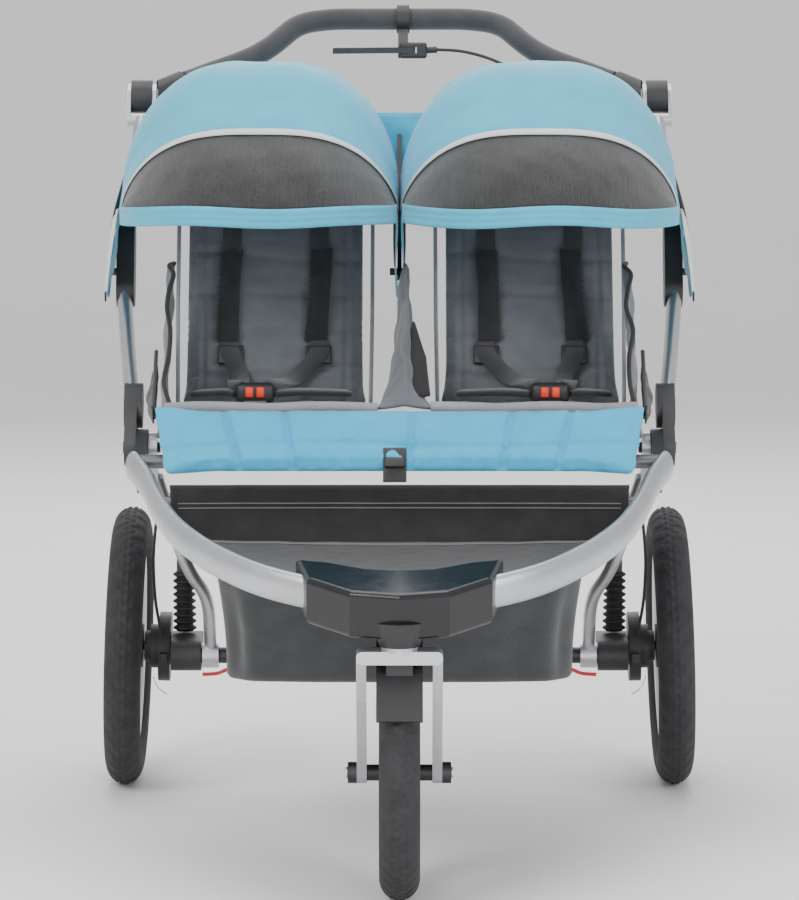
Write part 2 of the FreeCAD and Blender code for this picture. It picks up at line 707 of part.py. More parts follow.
def shock_neck():
    """Rod of the shock, from the boot's top to the strut."""
    neck = round_tube([(295, 345, 303), (298, 322, 352), (306, 200, 410), (316, 108, 436)], 7.7, 0.4)
    collar = rod(10, (295, 349, 296), (295, 345, 312))
    return neck.fuse(collar)


def shock_boot():
    """Ribbed bellows over the shock."""
    ribs = 7
    foot = (294, 352, 213)
    head = V(295, 349.4, 295.5)
    base = V(*foot)
    step = (head - base) * (1.0 / ribs)
    rings = []
    for i in range(ribs):
        low = base + step * i
        rings.append(Part.makeCone(13, 16.5, step.Length / 2, low, step))
        rings.append(Part.makeCone(16.5, 13, step.Length / 2, low + step * 0.5, step))
    return rings[0].multiFuse(rings[1:])


def brake_rod():
    """Thin rod across the beam that works both drums from the pedal."""
    half = [(267, BEAM_Y - 34, 166), (246, BEAM_Y - 34, 167), (232, BEAM_Y - 34, 174), (200, BEAM_Y - 34, 175)]
    return [(-x, y, z) for x, y, z in half] + [(x, y, z) for x, y, z in reversed(half)]


def drum_cable():
    """Cable from the frame down to the drum."""
    return round_tube([(322, 150, 395), (331, 230, 330), (330, 288, 262), (324, 306, 214)], 2.2)


# ---- build --------------------------------------------------------------------------
def build_front():
    hoop, hoop_solid = front_hoop()
    nose = nose_casting(hoop_solid).cut(stem_hole())
    lug = hinge_lugs().cut(hoop_solid)
    save(hoop.cut(stem_hole()), "front_hoop")
    save(nose, "nose_casting")
    save(steering_head(nose.fuse(hoop_solid)), "steering_head")
    save(group([mirrored(lug), lug]), "hinge_lugs")
    save(group(cross_tubes(hoop_solid, group([mirrored(lug), lug]))), "cross_tubes")
    save(foot_platform(hoop_solid, nose), "foot_platform")
    save(calf_panel(), "calf_panel")
    save(leg_pad(), "leg_pad")
    save(basket(), "basket")
    save(seat_divider(), "seat_divider")
    save(side_panels(), "side_panels")
    save(side_pockets(), "side_pockets")
    save(buckles(), "buckles")
    save(waist_straps(), "waist_straps")


def build_seats():
    for (name, _), span in zip(SIDES, SEAT_SPANS):
        save(seat_cushion(span), "seat_cushion_" + name)
        save(seat_back(span), "seat_back_" + name)
        save(buckle_button(span), "buckle_button_" + name)
    save(shoulder_straps(), "shoulder_straps")


def build_upper():
    tube, tube_solid = side_tube()
    tube = tube.multiFuse(tube_cheeks())
    tube_solid = tube_solid.multiFuse(tube_cheeks())
    bracket = hood_bracket(tube_solid)
    cover = hinge_cover().cut(tube_solid)
    save(mirrored(tube), "side_tube_left")
    save(tube, "side_tube_right")
    save(group([mirrored(cover), cover]), "hinge_covers")
    bar = back_cross_bar(mirrored(tube_solid), tube_solid)
    save(bar, "back_cross_bar")
    brackets = group([mirrored(bracket), middle_bracket().cut(bar), bracket])
    save(brackets, "hood_brackets")
    return group([mirrored(tube_solid), tube_solid, bar, brackets])


def build_hoods(inside):
    """The rear sections fit round the upper frame's own pieces."""
    for name, side in SIDES:
        rear = hood_section(side, 0, CREASE - 2, 150).cut(inside)
        save(max(rear.Solids, key=lambda s: s.Volume), "hood_rear_" + name)
        save(hood_mid(side), "hood_mid_" + name)
        save(hood_visor(side), "hood_visor_" + name)


def build_handlebar():
    tube_solid = round_tube(handlebar_path(), 11)
    hollow = round_tube(handlebar_path(), 11 - WALL)
    elbow = handlebar_elbows().cut(tube_solid)
    save(tube_solid.cut(hollow), "handlebar_tube")
    save(group([mirrored(elbow), elbow]), "handlebar_elbows")
    save(handlebar_grip(tube_solid), "handlebar_grip")
    save(lever_clamp(), "lever_clamp")
    save(brake_lever(), "brake_lever")
    save(brake_cable(), "brake_cable")


def build_rear():
    save(rod(11, (-309, BEAM_Y, BEAM_Z), (309, BEAM_Y, BEAM_Z)), "axle_beam")
    neck = shock_neck().cut(shock_boot()).cut(strut(1))
    save(group([mirrored(neck), neck]), "shock_necks")
    save(round_tube(brake_rod(), 2.5), "brake_rod")
    for name, side in SIDES:
        boot = shock_boot()
        cable = drum_cable()
        save(strut(side), "strut_" + name)
        save(boot if side > 0 else mirrored(boot), "shock_boot_" + name)
        save(cable if side > 0 else mirrored(cable), "drum_cable_" + name)
        drum = brake_drum(side)
        save(axle_block(side).cut(drum), "axle_block_" + name)
        save(drum, "brake_drum_" + name)
        rear_wheel(name, side)


def build_fork():
    guard = front_fender()
    save(fork().cut(guard), "fork")
    save(front_axle(), "front_axle")
    save(guard, "front_fender")
    front_wheel()


os.makedirs("parts", exist_ok=True)
build_front()
build_seats()
build_hoods(build_upper())
build_handlebar()
build_rear()
build_fork()
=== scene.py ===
import math

import bmesh
import bpy
import numpy as np
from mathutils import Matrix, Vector


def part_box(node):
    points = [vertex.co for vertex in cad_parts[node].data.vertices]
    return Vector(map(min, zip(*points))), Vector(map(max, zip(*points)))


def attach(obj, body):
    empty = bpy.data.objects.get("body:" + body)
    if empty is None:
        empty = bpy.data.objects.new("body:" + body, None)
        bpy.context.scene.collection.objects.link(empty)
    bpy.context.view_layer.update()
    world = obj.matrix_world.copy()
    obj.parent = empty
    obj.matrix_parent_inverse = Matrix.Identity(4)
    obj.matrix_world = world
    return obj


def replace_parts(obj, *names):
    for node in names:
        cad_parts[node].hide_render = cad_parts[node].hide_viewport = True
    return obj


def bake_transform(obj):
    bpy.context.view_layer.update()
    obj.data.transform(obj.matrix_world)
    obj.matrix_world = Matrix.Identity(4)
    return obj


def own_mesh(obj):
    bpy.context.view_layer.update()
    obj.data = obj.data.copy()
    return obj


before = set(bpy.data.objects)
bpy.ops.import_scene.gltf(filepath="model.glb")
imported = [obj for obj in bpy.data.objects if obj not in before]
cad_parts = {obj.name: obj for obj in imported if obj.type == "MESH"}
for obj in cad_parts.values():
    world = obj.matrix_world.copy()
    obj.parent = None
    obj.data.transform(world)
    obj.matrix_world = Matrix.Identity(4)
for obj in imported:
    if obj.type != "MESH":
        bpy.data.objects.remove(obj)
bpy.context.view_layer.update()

# Double jogging stroller. Metres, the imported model's own frame: -Y is its front.
MM = 0.001
SIDES = (("left", -1), ("right", 1))
HOOD_AXIS = (245 * MM, 715 * MM)          # y, z of the hoods' pivots
HOOD_MIDDLE = 184 * MM
HOOD_HALF = 182 * MM
HOOD_CROWN = 286 * MM
HOOD_EDGE = 125 * MM
REAR_ANGLE = 150.0
CREASE_ANGLE = 68.0
PIPING_ANGLE = 44.0
CUSHION_TOP = 560 * MM
SEAT_SPANS = ((-296 * MM, -34 * MM), (46 * MM, 300 * MM))
BACK_FOOT = (134 * MM, 536 * MM)
BACK_HEAD = (316 * MM, 890 * MM)


# ---- materials ----------------------------------------------------------------------
def new_material(name, colour, roughness, metallic=0.0):
    material = bpy.data.materials.new(name)
    material.use_nodes = True
    shader = material.node_tree.nodes["Principled BSDF"]
    shader.inputs["Base Color"].default_value = (*colour, 1)
    shader.inputs["Roughness"].default_value = roughness
    shader.inputs["Metallic"].default_value = metallic
    return material, material.node_tree, shader


def add_node(tree, kind, **values):
    node = tree.nodes.new(kind)
    for key, value in values.items():
        if key in node.inputs:
            node.inputs[key].default_value = value
        else:
            setattr(node, key, value)
    return node


def object_coordinates(tree, stretch=(1, 1, 1)):
    source = tree.nodes.new("ShaderNodeTexCoord")
    mapping = add_node(tree, "ShaderNodeMapping", Scale=stretch)
    tree.links.new(source.outputs["Object"], mapping.inputs["Vector"])
    return mapping.outputs["Vector"]


def noise(tree, coordinates, scale, detail=3.0, roughness=0.55):
    node = add_node(tree, "ShaderNodeTexNoise", Scale=scale, Detail=detail, Roughness=roughness)
    tree.links.new(coordinates, node.inputs["Vector"])
    return node.outputs["Fac"]


def bands(tree, coordinates, scale, direction):
    node = add_node(tree, "ShaderNodeTexWave", Scale=scale, bands_direction=direction)
    tree.links.new(coordinates, node.inputs["Vector"])
    return node.outputs["Fac"]


def math_node(tree, operation, a, b):
    node = add_node(tree, "ShaderNodeMath", operation=operation)
    for socket, value in zip(node.inputs, (a, b)):
        if isinstance(value, (int, float)):
            socket.default_value = value
        else:
            tree.links.new(value, socket)
    return node.outputs["Value"]


def bump(tree, shader, height, distance, strength=1.0):
    """Adds a bump under any bump that the shader already has."""
    node = add_node(tree, "ShaderNodeBump", Distance=distance, Strength=strength)
    tree.links.new(height, node.inputs["Height"])
    below = shader.inputs["Normal"].links
    if below:
        tree.links.new(below[0].from_socket, node.inputs["Normal"])
    tree.links.new(node.outputs["Normal"], shader.inputs["Normal"])


def vary(tree, shader, fac, dark, light):
    """Base colour that runs from dark to light with a factor."""
    ramp = tree.nodes.new("ShaderNodeValToRGB")
    ramp.color_ramp.elements[0].position = 0.3
    ramp.color_ramp.elements[1].position = 0.7
    ramp.color_ramp.elements[0].color = (*dark, 1)
    ramp.color_ramp.elements[1].color = (*light, 1)
    tree.links.new(fac, ramp.inputs["Fac"])
    tree.links.new(ramp.outputs["Color"], shader.inputs["Base Color"])


def vary_roughness(tree, shader, fac, low, high):
    node = add_node(tree, "ShaderNodeMapRange", **{"To Min": low, "To Max": high})
    tree.links.new(fac, node.inputs["Value"])
    tree.links.new(node.outputs["Result"], shader.inputs["Roughness"])


def scaled(colour, by):
    return tuple(min(1.0, c * by) for c in colour)


def fabric(name, colour, roughness=0.75, sheen=0.25, threads=1400, spread=0.1, soft=0.0012, thread_depth=0.00012):
    """Woven cloth: crossing threads, soft unevenness and a slightly mottled dye."""
    material, tree, shader = new_material(name, colour, roughness)
    shader.inputs["Sheen Weight"].default_value = sheen
    shader.inputs["Sheen Roughness"].default_value = 0.45
    shader.inputs["Specular IOR Level"].default_value = 0.35
    place = object_coordinates(tree)
    vary(tree, shader, noise(tree, place, 28, 5.0), scaled(colour, 1 - spread), scaled(colour, 1 + spread))
    vary_roughness(tree, shader, noise(tree, place, 60, 4.0), roughness - 0.08, min(1.0, roughness + 0.1))
    bump(tree, shader, noise(tree, place, 45, 4.0), soft)
    weave = math_node(tree, "MULTIPLY", bands(tree, place, threads, "X"), bands(tree, place, threads, "Z"))
    bump(tree, shader, weave, thread_depth)
    return material


def plastic(name, colour, roughness, grain=0.0, grain_scale=900):
    """Moulded plastic, with a fine spark-eroded grain and faint scuffs."""
    material, tree, shader = new_material(name, colour, roughness)
    place = object_coordinates(tree)
    vary(tree, shader, noise(tree, place, 22, 4.0), scaled(colour, 0.86), scaled(colour, 1.2))
    vary_roughness(tree, shader, noise(tree, place, 70, 6.0), max(0.03, roughness - 0.06), roughness + 0.1)
    bump(tree, shader, noise(tree, place, grain_scale, 2.0), grain)
    return material


def satin_metal(name, colour, roughness, stretch=(1, 1, 1)):
    """Anodised tube: fine drawing lines and soft handling marks."""
    material, tree, shader = new_material(name, colour, roughness, 0.9)
    shader.inputs["Coat Weight"].default_value = 0.15
    shader.inputs["Coat Roughness"].default_value = 0.25
    lines = noise(tree, object_coordinates(tree, stretch), 420, 3.0)
    place = object_coordinates(tree)
    vary(tree, shader, noise(tree, place, 14, 4.0), scaled(colour, 0.9), scaled(colour, 1.08))
    vary_roughness(tree, shader, noise(tree, place, 55, 5.0), roughness - 0.05, roughness + 0.12)
    bump(tree, shader, lines, 0.00004)
    return material


def rubber(name, colour, roughness=0.82, dust=0.25):
    """Tyre rubber: micro pitting and a dusty bloom on raised places."""
    material, tree, shader = new_material(name, colour, roughness)
    place = object_coordinates(tree)
    vary(tree, shader, noise(tree, place, 35, 6.0, 0.7), scaled(colour, 0.75), scaled(colour, 1 + dust * 2))
    vary_roughness(tree, shader, noise(tree, place, 90, 5.0), roughness - 0.12, min(1.0, roughness + 0.1))
    bump(tree, shader, noise(tree, place, 700, 3.0), 0.00025)
    return material


def foam(name, colour):
    material, tree, shader = new_material(name, colour, 0.85)
    shader.inputs["Sheen Weight"].default_value = 0.3
    place = object_coordinates(tree)
    cells = add_node(tree, "ShaderNodeTexVoronoi", Scale=900)
    tree.links.new(place, cells.inputs["Vector"])
    vary(tree, shader, noise(tree, place, 40, 4.0), scaled(colour, 0.85), scaled(colour, 1.2))
    bump(tree, shader, cells.outputs["Distance"], 0.0003)
    return material


def net(name, colour, opacity):
    """See-through mesh cloth with fine upright threads."""
    material, tree, shader = new_material(name, colour, 0.5)
    shader.inputs["Alpha"].default_value = opacity
    shader.inputs["Sheen Weight"].default_value = 0.5
    shader.inputs["Sheen Roughness"].default_value = 0.35
    place = object_coordinates(tree)
    streaks = noise(tree, object_coordinates(tree, (1, 0.06, 0.06)), 620, 3.0)
    vary(tree, shader, streaks, scaled(colour, 0.5), scaled(colour, 2.2))
    vary_roughness(tree, shader, noise(tree, place, 40, 4.0), 0.38, 0.62)
    holes = math_node(tree, "MULTIPLY", bands(tree, place, 900, "X"), bands(tree, place, 900, "Z"))
    bump(tree, shader, holes, 0.0003)
    bump(tree, shader, streaks, 0.0006)
    return material


def webbing(name, colour):
    """Ribbed strap: ridges along it and fine cross threads."""
    material, tree, shader = new_material(name, colour, 0.68)
    shader.inputs["Sheen Weight"].default_value = 0.35
    place = object_coordinates(tree)
    vary(tree, shader, noise(tree, place, 60, 4.0), scaled(colour, 0.7), scaled(colour, 1.5))
    bump(tree, shader, bands(tree, place, 500, "Z"), 0.0003)
    bump(tree, shader, bands(tree, place, 260, "X"), 0.0003)
    return material


BLUE = fabric("blue_cloth", (0.045, 0.47, 0.68), 0.62, 0.35, spread=0.05)
# Darker copy of the blue cloth for the hood top: painted shade for the top plane that faces away from the lamps (not
# used by any piece).
BLUE_SHADED_TOP = fabric("blue_cloth_painted_shade_top", (0.012, 0.37, 0.6), 0.55, 0.3, spread=0.06)
BLUE_PAD = fabric("blue_pad_cloth", (0.03, 0.44, 0.72), 0.7, 0.3, threads=900, spread=0.06, soft=0.0016)
GREY = fabric("grey_liner", (0.13, 0.14, 0.155), 0.85, 0.4, threads=700, soft=0.002)
GREY_EDGE = fabric("grey_binding", (0.3, 0.31, 0.325), 0.8, 0.3, threads=900)
DARK_CLOTH = fabric("black_cloth", (0.018, 0.018, 0.02), 0.6, 0.25, threads=1100, spread=0.25)
BASKET_CLOTH = fabric("basket_cloth", (0.045, 0.047, 0.05), 0.7, 0.3, threads=800, spread=0.2)
HARNESS_PAD = fabric("harness_pad_cloth", (0.02, 0.02, 0.022), 0.8, 0.35, threads=900, spread=0.25)
REFLECTIVE = fabric("reflective_piping", (0.74, 0.75, 0.76), 0.4, 0.1, threads=1500, spread=0.04, soft=0.0004)
LINE_GREY = fabric("grey_trim", (0.16, 0.16, 0.165), 0.5, 0.1, threads=1500, spread=0.1, soft=0.0003)
NET = net("visor_net", (0.012, 0.012, 0.013), 0.9)
POCKET_NET = net("pocket_net", (0.012, 0.012, 0.013), 0.94)
WEBBING = webbing("black_webbing", (0.014, 0.014, 0.016))
TUBE = satin_metal("satin_tube", (0.56, 0.57, 0.59), 0.36)
TUBE_DARK = satin_metal("grey_tube", (0.2, 0.2, 0.21), 0.42)
DARK_METAL = satin_metal("dark_tube", (0.06, 0.06, 0.065), 0.45)
RIM_METAL = satin_metal("rim_silver", (0.62, 0.63, 0.64), 0.4)
STEEL = satin_metal("bright_steel", (0.75, 0.75, 0.76), 0.22)
GLOSS_BLACK = plastic("gloss_black", (0.012, 0.012, 0.014), 0.16, 0.00005, 300)
BLACK_PLASTIC = plastic("black_moulding", (0.022, 0.022, 0.024), 0.45, 0.00012)
GREY_PLASTIC = plastic("dark_grey_moulding", (0.05, 0.05, 0.054), 0.5, 0.00015)
RED_PLASTIC = plastic("button_red", (0.75, 0.05, 0.015), 0.35, 0.00005)
RED_ROD = plastic("red_rod_coat", (0.55, 0.015, 0.015), 0.35, 0.00005)
RUBBER = rubber("tyre_rubber", (0.022, 0.022, 0.024))
BOOT_RUBBER = rubber("boot_rubber", (0.02, 0.02, 0.022), 0.6, 0.1)
FOAM = foam("grip_foam", (0.042, 0.042, 0.046))
CLEAR = plastic("clear_adjuster", (0.55, 0.55, 0.55), 0.25, 0.00005)


# ---- mesh helpers -------------------------------------------------------------------
def mesh_object(name, points, faces, material):
    mesh = bpy.data.meshes.new(name)
    mesh.from_pydata([tuple(p) for p in points], [], faces)
    mesh.materials.append(material)
    mesh.polygons.foreach_set("use_smooth", [True] * len(mesh.polygons))
    mesh.validate()
    mesh.update()
    piece = bpy.data.objects.new(name, mesh)
    bpy.context.scene.collection.objects.link(piece)
    return piece


def apply_modifiers(piece):
    evaluated = piece.evaluated_get(bpy.context.evaluated_depsgraph_get())
    mesh = bpy.data.meshes.new_from_object(evaluated)
    piece.modifiers.clear()
    old = piece.data
    piece.data = mesh
    bpy.data.meshes.remove(old)
    return piece


def grid_faces(rows, columns, round_rows=False, round_columns=False):
    faces = []
    for i in range(rows if round_rows else rows - 1):
        for j in range(columns if round_columns else columns - 1):
            a = i * columns + j
            b = i * columns + (j + 1) % columns
            c = ((i + 1) % rows) * columns + (j + 1) % columns
            d = ((i + 1) % rows) * columns + j
            faces.append((a, b, c, d))
    return faces


def surface(name, shape, rows, columns, material, thickness=0.0, offset=0.0, smooth=0):
    """Sheet from a function of two shares from 0 to 1, given a thickness."""
    points = [shape(i / (rows - 1), j / (columns - 1)) for i in range(rows) for j in range(columns)]
    piece = mesh_object(name, points, grid_faces(rows, columns), material)
    if thickness:
        solid = piece.modifiers.new("solid", "SOLIDIFY")
        solid.thickness = thickness
        solid.offset = offset
        solid.use_quality_normals = True
    if smooth:
        piece.modifiers.new("smooth", "SUBSURF").levels = smooth
        piece.modifiers["smooth"].render_levels = smooth
    return apply_modifiers(piece) if piece.modifiers else piece


def ring_tube(name, line, section, material, closed=False):
    """Tube along points; section gives (across, up) offsets, with X-free frames."""
    line = [Vector(p) for p in line]
    count = len(line)
    points = []
    normal = None
    for i, spot in enumerate(line):
        ahead = line[(i + 1) % count] if closed else line[min(i + 1, count - 1)]
        behind = line[i - 1] if closed else line[max(i - 1, 0)]
        tangent = (ahead - behind).normalized()
        if normal is None:
            normal = tangent.orthogonal().normalized()
        normal = (normal - tangent * normal.dot(tangent)).normalized()
        across = tangent.cross(normal)
        points += [spot + normal * a + across * b for a, b in section]
    size = len(section)
    faces = grid_faces(count, size, closed, True)
    if not closed:
        faces.append(tuple(reversed(range(size))))
        faces.append(tuple(range((count - 1) * size, count * size)))
    return mesh_object(name, points, faces, material)


def circle(radius, sides=12):
    turns = [2 * math.pi * k / sides for k in range(sides)]
    return [(radius * math.cos(t), radius * math.sin(t)) for t in turns]


def smooth_line(points, steps=12):
    """Points along a smooth curve through a few given ones."""
    points = [Vector(p) for p in points]
    padded = [2 * points[0] - points[1]] + points + [2 * points[-1] - points[-2]]
    line = []
    for a, b, c, d in zip(padded, padded[1:], padded[2:], padded[3:]):
        for k in range(steps):
            t = k / steps
            line.append(0.5 * ((2 * b) + (c - a) * t + (2 * a - 5 * b + 4 * c - d) * t * t
                               + (3 * b - a - 3 * c + d) * t ** 3))
    line.append(points[-1])
    return line


def cord_piece(name, points, radius, material, steps=10):
    return ring_tube(name, smooth_line(points, steps), circle(radius, 10), material)


def strap(name, points, widths, thickness, facing, material, steps=10):
    """Flat strap along points, its face turned to a direction."""
    line = smooth_line(points, steps)
    facing = Vector(facing)
    count = len(line)
    rows = []
    for i, spot in enumerate(line):
        tangent = (line[min(i + 1, count - 1)] - line[max(i - 1, 0)]).normalized()
        across = tangent.cross(facing).normalized()
        out = across.cross(tangent).normalized()
        share = i / (count - 1) * (len(widths) - 1)
        low = min(int(share), len(widths) - 2)
        half = (widths[low] * (1 - share + low) + widths[low + 1] * (share - low)) / 2
        bevel = thickness * 0.4
        for a, b in ((-half, -0.2), (-half + bevel, -0.5), (half - bevel, -0.5), (half, -0.2),
                     (half, 0.2), (half - bevel, 0.5), (-half + bevel, 0.5), (-half, 0.2)):
            rows.append(spot + across * a + out * (b * thickness))
    faces = grid_faces(count, 8, False, True)
    faces.append(tuple(reversed(range(8))))
    faces.append(tuple(range((count - 1) * 8, count * 8)))
    return mesh_object(name, rows, faces, material)


def rounded_box(name, centre, size, radius, material, turn=None, levels=2):
    """Box with rounded edges, built from a bevelled cube."""
    made = bmesh.new()
    bmesh.ops.create_cube(made, size=1.0)
    for vertex in made.verts:
        vertex.co = Vector((vertex.co.x * size[0], vertex.co.y * size[1], vertex.co.z * size[2]))
    bmesh.ops.bevel(made, geom=made.edges[:], offset=radius, segments=levels + 1, profile=0.5, affect="EDGES")
    if turn is not None:
        made.transform(turn.to_4x4())
    bmesh.ops.translate(made, verts=made.verts, vec=Vector(centre))
    mesh = bpy.data.meshes.new(name)
    made.to_mesh(mesh)
    made.free()
    mesh.materials.append(material)
    mesh.polygons.foreach_set("use_smooth", [True] * len(mesh.polygons))
    piece = bpy.data.objects.new(name, mesh)
    bpy.context.scene.collection.objects.link(piece)
    return piece


def coordinates(piece):
    co = np.empty(len(piece.data.vertices) * 3)
    piece.data.vertices.foreach_get("co", co)
    return co.reshape(-1, 3)


def set_coordinates(piece, co):
    piece.data.vertices.foreach_set("co", np.asarray(co).ravel())
    piece.data.update()


def ripple(a, b, scale, seed):
    """Smooth, repeatable unevenness from -1 to 1 over two lengths in metres."""
    total = 0
    for k in range(4):
        angle = seed * 1.7 + k * 2.4
        length = scale / (1 + 0.6 * k)
        wave = (a * math.cos(angle) + b * math.sin(angle)) * 2 * math.pi / length
        total = total + np.sin(wave + seed * 3.1 + k * 1.3) / (1 + k)
    return total / 2.1


def puffed(piece, cap, pressure=4.0, voxel=0.005):
    """Inflates a closed form as sewn cloth, then keeps it within a cap of its start."""
    remesh = piece.modifiers.new("remesh", "REMESH")
    remesh.mode = "VOXEL"
    remesh.voxel_size = voxel
    apply_modifiers(piece)
    start = coordinates(piece)
    cloth = piece.modifiers.new("cloth", "CLOTH")
    cloth.settings.quality = 5
    cloth.settings.mass = 0.3
    cloth.settings.tension_stiffness = 15
    cloth.settings.compression_stiffness = 15
    cloth.settings.bending_stiffness = 0.5
    cloth.settings.use_pressure = True
    cloth.settings.uniform_pressure_force = pressure
    cloth.settings.effector_weights.gravity = 0
    cloth.point_cache.frame_start = 1
    cloth.point_cache.frame_end = 20
    for step in range(1, 21):
        bpy.context.scene.frame_set(step)
    apply_modifiers(piece)
    bpy.context.scene.frame_set(1)
    moved = coordinates(piece)
    shift = moved - start
    length = np.linalg.norm(shift, axis=1)
    keep = np.minimum(1, cap / np.maximum(length, 1e-9))
    set_coordinates(piece, start + shift * keep[:, None])
    piece.data.polygons.foreach_set("use_smooth", [True] * len(piece.data.polygons))
    return piece


def subdivided(piece, levels=1):
    piece.modifiers.new("smooth", "SUBSURF").levels = levels
    apply_modifiers(piece)
    piece.data.polygons.foreach_set("use_smooth", [True] * len(piece.data.polygons))
    return piece


def finished(piece, body, slot=None, *nodes):
    """Puts a piece on its body and hides the plain nodes that it stands for."""
    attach(piece, body)
    if nodes:
        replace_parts(piece, *nodes)
    return piece


# ---- camera, light and floor --------------------------------------------------------
def stage_set():
    camera = bpy.data.objects.new("camera", bpy.data.cameras.new("camera"))
    camera.location = (0, -6.295, 1.243)
    camera.rotation_euler = (math.radians(83.3), 0, 0)
    camera.data.sensor_width = 36
    camera.data.lens = 196
    camera.data.clip_end = 60
    bpy.context.scene.collection.objects.link(camera)
    bpy.context.scene.camera = camera
    for name, place, size, power, colour in (
            ("key", (-2.6, -3.6, 3.6), 2.4, 150, (1, 0.99, 0.97)),
            ("fill", (3.2, -3.4, 2.2), 2.6, 90, (0.97, 0.98, 1)),
            ("top", (0, 0.4, 3.8), 2.6, 70, (1, 1, 1)),
            ("low", (0, -4.4, 0.9), 2.0, 34, (1, 1, 1)),
            ("back", (0, 3.4, 2.6), 2.6, 60, (1, 1, 1))):
        light = bpy.data.lights.new(name, "AREA")
        light.size = size
        light.energy = power
        light.color = colour
        lamp = bpy.data.objects.new(name, light)
        lamp.location = place
        lamp.rotation_euler = (Vector((0, 0, 0.5)) - Vector(place)).to_track_quat("-Z", "Y").to_euler()
        bpy.context.scene.collection.objects.link(lamp)
    world = bpy.data.worlds.new("studio")
    world.use_nodes = True
    world.node_tree.nodes["Background"].inputs["Color"].default_value = (1, 1, 1, 1)
    world.node_tree.nodes["Background"].inputs["Strength"].default_value = 0.75
    bpy.context.scene.world = world
    floor_cloth, tree, shader = new_material("floor_paint", (0.9, 0.9, 0.9), 0.9)
    vary(tree, shader, noise(tree, object_coordinates(tree), 3, 3.0), (0.89, 0.89, 0.89), (0.92, 0.92, 0.92))

    def cove(u, v):
        x = (u - 0.5) * 24
        reach = v * 22 - 10
        rise = max(0.0, reach - 6)
        return (x, min(reach, 6 + 3 * math.sin(min(rise / 3, 1.5))), 3 * (1 - math.cos(min(rise / 3, 1.5))) + max(0, rise - 4.5))
    floor = surface("floor", cove, 4, 120, floor_cloth)


# ---- hoods --------------------------------------------------------------------------
def hood_radius(share):
    return HOOD_EDGE + (HOOD_CROWN - HOOD_EDGE) * max(0.0, 1 - abs(share) ** 3) ** 0.65


def share_of(t):
    """Spreads columns so that they crowd towards the two steep ends of a hood."""
    return math.sin((t - 0.5) * math.pi)


def from_pivot(x, radius, angle):
    turn = math.radians(angle)
    return Vector((x, HOOD_AXIS[0] - radius * math.cos(turn), HOOD_AXIS[1] + radius * math.sin(turn)))


def hood_x(side, share, inset=0.0):
    return side * (HOOD_MIDDLE + share * (HOOD_HALF - inset))


def bow_lift(angle):
    """Fabric stands up over each bow and sinks a little between them."""
    lift = 0.0
    for bow in (PIPING_ANGLE, CREASE_ANGLE, 106.0, REAR_ANGLE):
        lift = max(lift, 0.006 * math.exp(-((angle - bow) / 9.0) ** 2))
    return lift - 0.003


def hood_top(side):
    def shape(u, v):
        angle = PIPING_ANGLE + u * (REAR_ANGLE - PIPING_ANGLE)
        share = share_of(v)
        radius = hood_radius(share) * (0.985 + 0.03 * math.exp(-((angle - CREASE_ANGLE) / 16) ** 2))
        wrinkle = 0.0016 * ripple(side * 0.3 + share * 0.2, angle * 0.004, 0.11, 3 + side)
        fold = 0.002 * abs(share) ** 4 * math.sin(angle * 0.35 + side)
        return from_pivot(hood_x(side, share), radius + bow_lift(angle) + wrinkle + fold, angle)
    return shape


def hem_point(side, share, lift=0.0):
    bulge = 1 - max(0.0, 1 - abs(share) ** 2.4) ** 0.62
    y = (-56 + 150 * bulge) * MM
    z = (806 - 6 * share * share + 2.2 * math.sin(share * 5 + side)) * MM + lift
    return Vector((hood_x(side, share, 2 * MM), y, z))


def hood_visor(side):
    def shape(u, v):
        share = share_of(v)
        top = from_pivot(hood_x(side, share, 1 * MM), hood_radius(share) * 0.985, PIPING_ANGLE)
        low = hem_point(side, share, 14 * MM)
        middle = top.lerp(low, u)
        out = Vector((0, middle.y - HOOD_AXIS[0], middle.z - HOOD_AXIS[1])).normalized()
        swell = 0.012 * math.sin(u * math.pi) * (1 - share ** 6)
        wrinkle = 0.0022 * ripple(share * 0.2, u * 0.09, 0.07, 7 + side) * math.sin(u * math.pi)
        return middle + out * (swell + wrinkle)
    return shape


def hood_hem(side):
    def shape(u, v):
        share = share_of(v)
        spot = hem_point(side, share, (15 - 24 * u) * MM)
        pleat = 0.0022 * abs(math.sin(u * math.pi * 3)) + 0.0012 * ripple(share * 0.2, u * 0.02, 0.05, 11 + side)
        return spot + Vector((0, -0.003 - pleat, 0))
    return shape


def hood_piping(side):
    def shape(u, v):
        share = share_of(v)
        width = 0.010 * (1 - 0.55 * share * share)
        radius = hood_radius(share) * 0.985
        angle = PIPING_ANGLE + math.degrees((u - 0.6) * width / max(radius, 0.1))
        dome = 0.0022 * math.sin(u * math.pi)
        return from_pivot(hood_x(side, share, -0.5 * MM), radius + 0.0045 + dome, angle)
    return shape


def gore_edge(angle):
    """Outer radius of the side cloth at an angle round the pivot."""
    marks = ((-26, 0.06), (-7, 0.126), (12, 0.137), (31, 0.166), (44, 0.124), (REAR_ANGLE, 0.124))
    for (a, ra), (b, rb) in zip(marks, marks[1:]):
        if angle <= b:
            return ra + (rb - ra) * (angle - a) / (b - a)
    return marks[-1][1]


def hood_gore(side, outer):
    def shape(u, v):
        angle = -26 + v * (REAR_ANGLE + 26)
        radius = 0.013 + (gore_edge(angle) - 0.013) * u
        low = max(0.0, min(1.0, (40 - angle) / 50))
        if outer:
            x = 366 + 19 * max(1 - u, low) + 1.6 * math.sin(angle * 0.2) * u * (1 - low)
        else:
            x = 3.4 + 2.5 * (1 - u) + 1.2 * math.sin(angle * 0.17) * u
        return from_pivot(side * x * MM, radius, angle)
    return shape


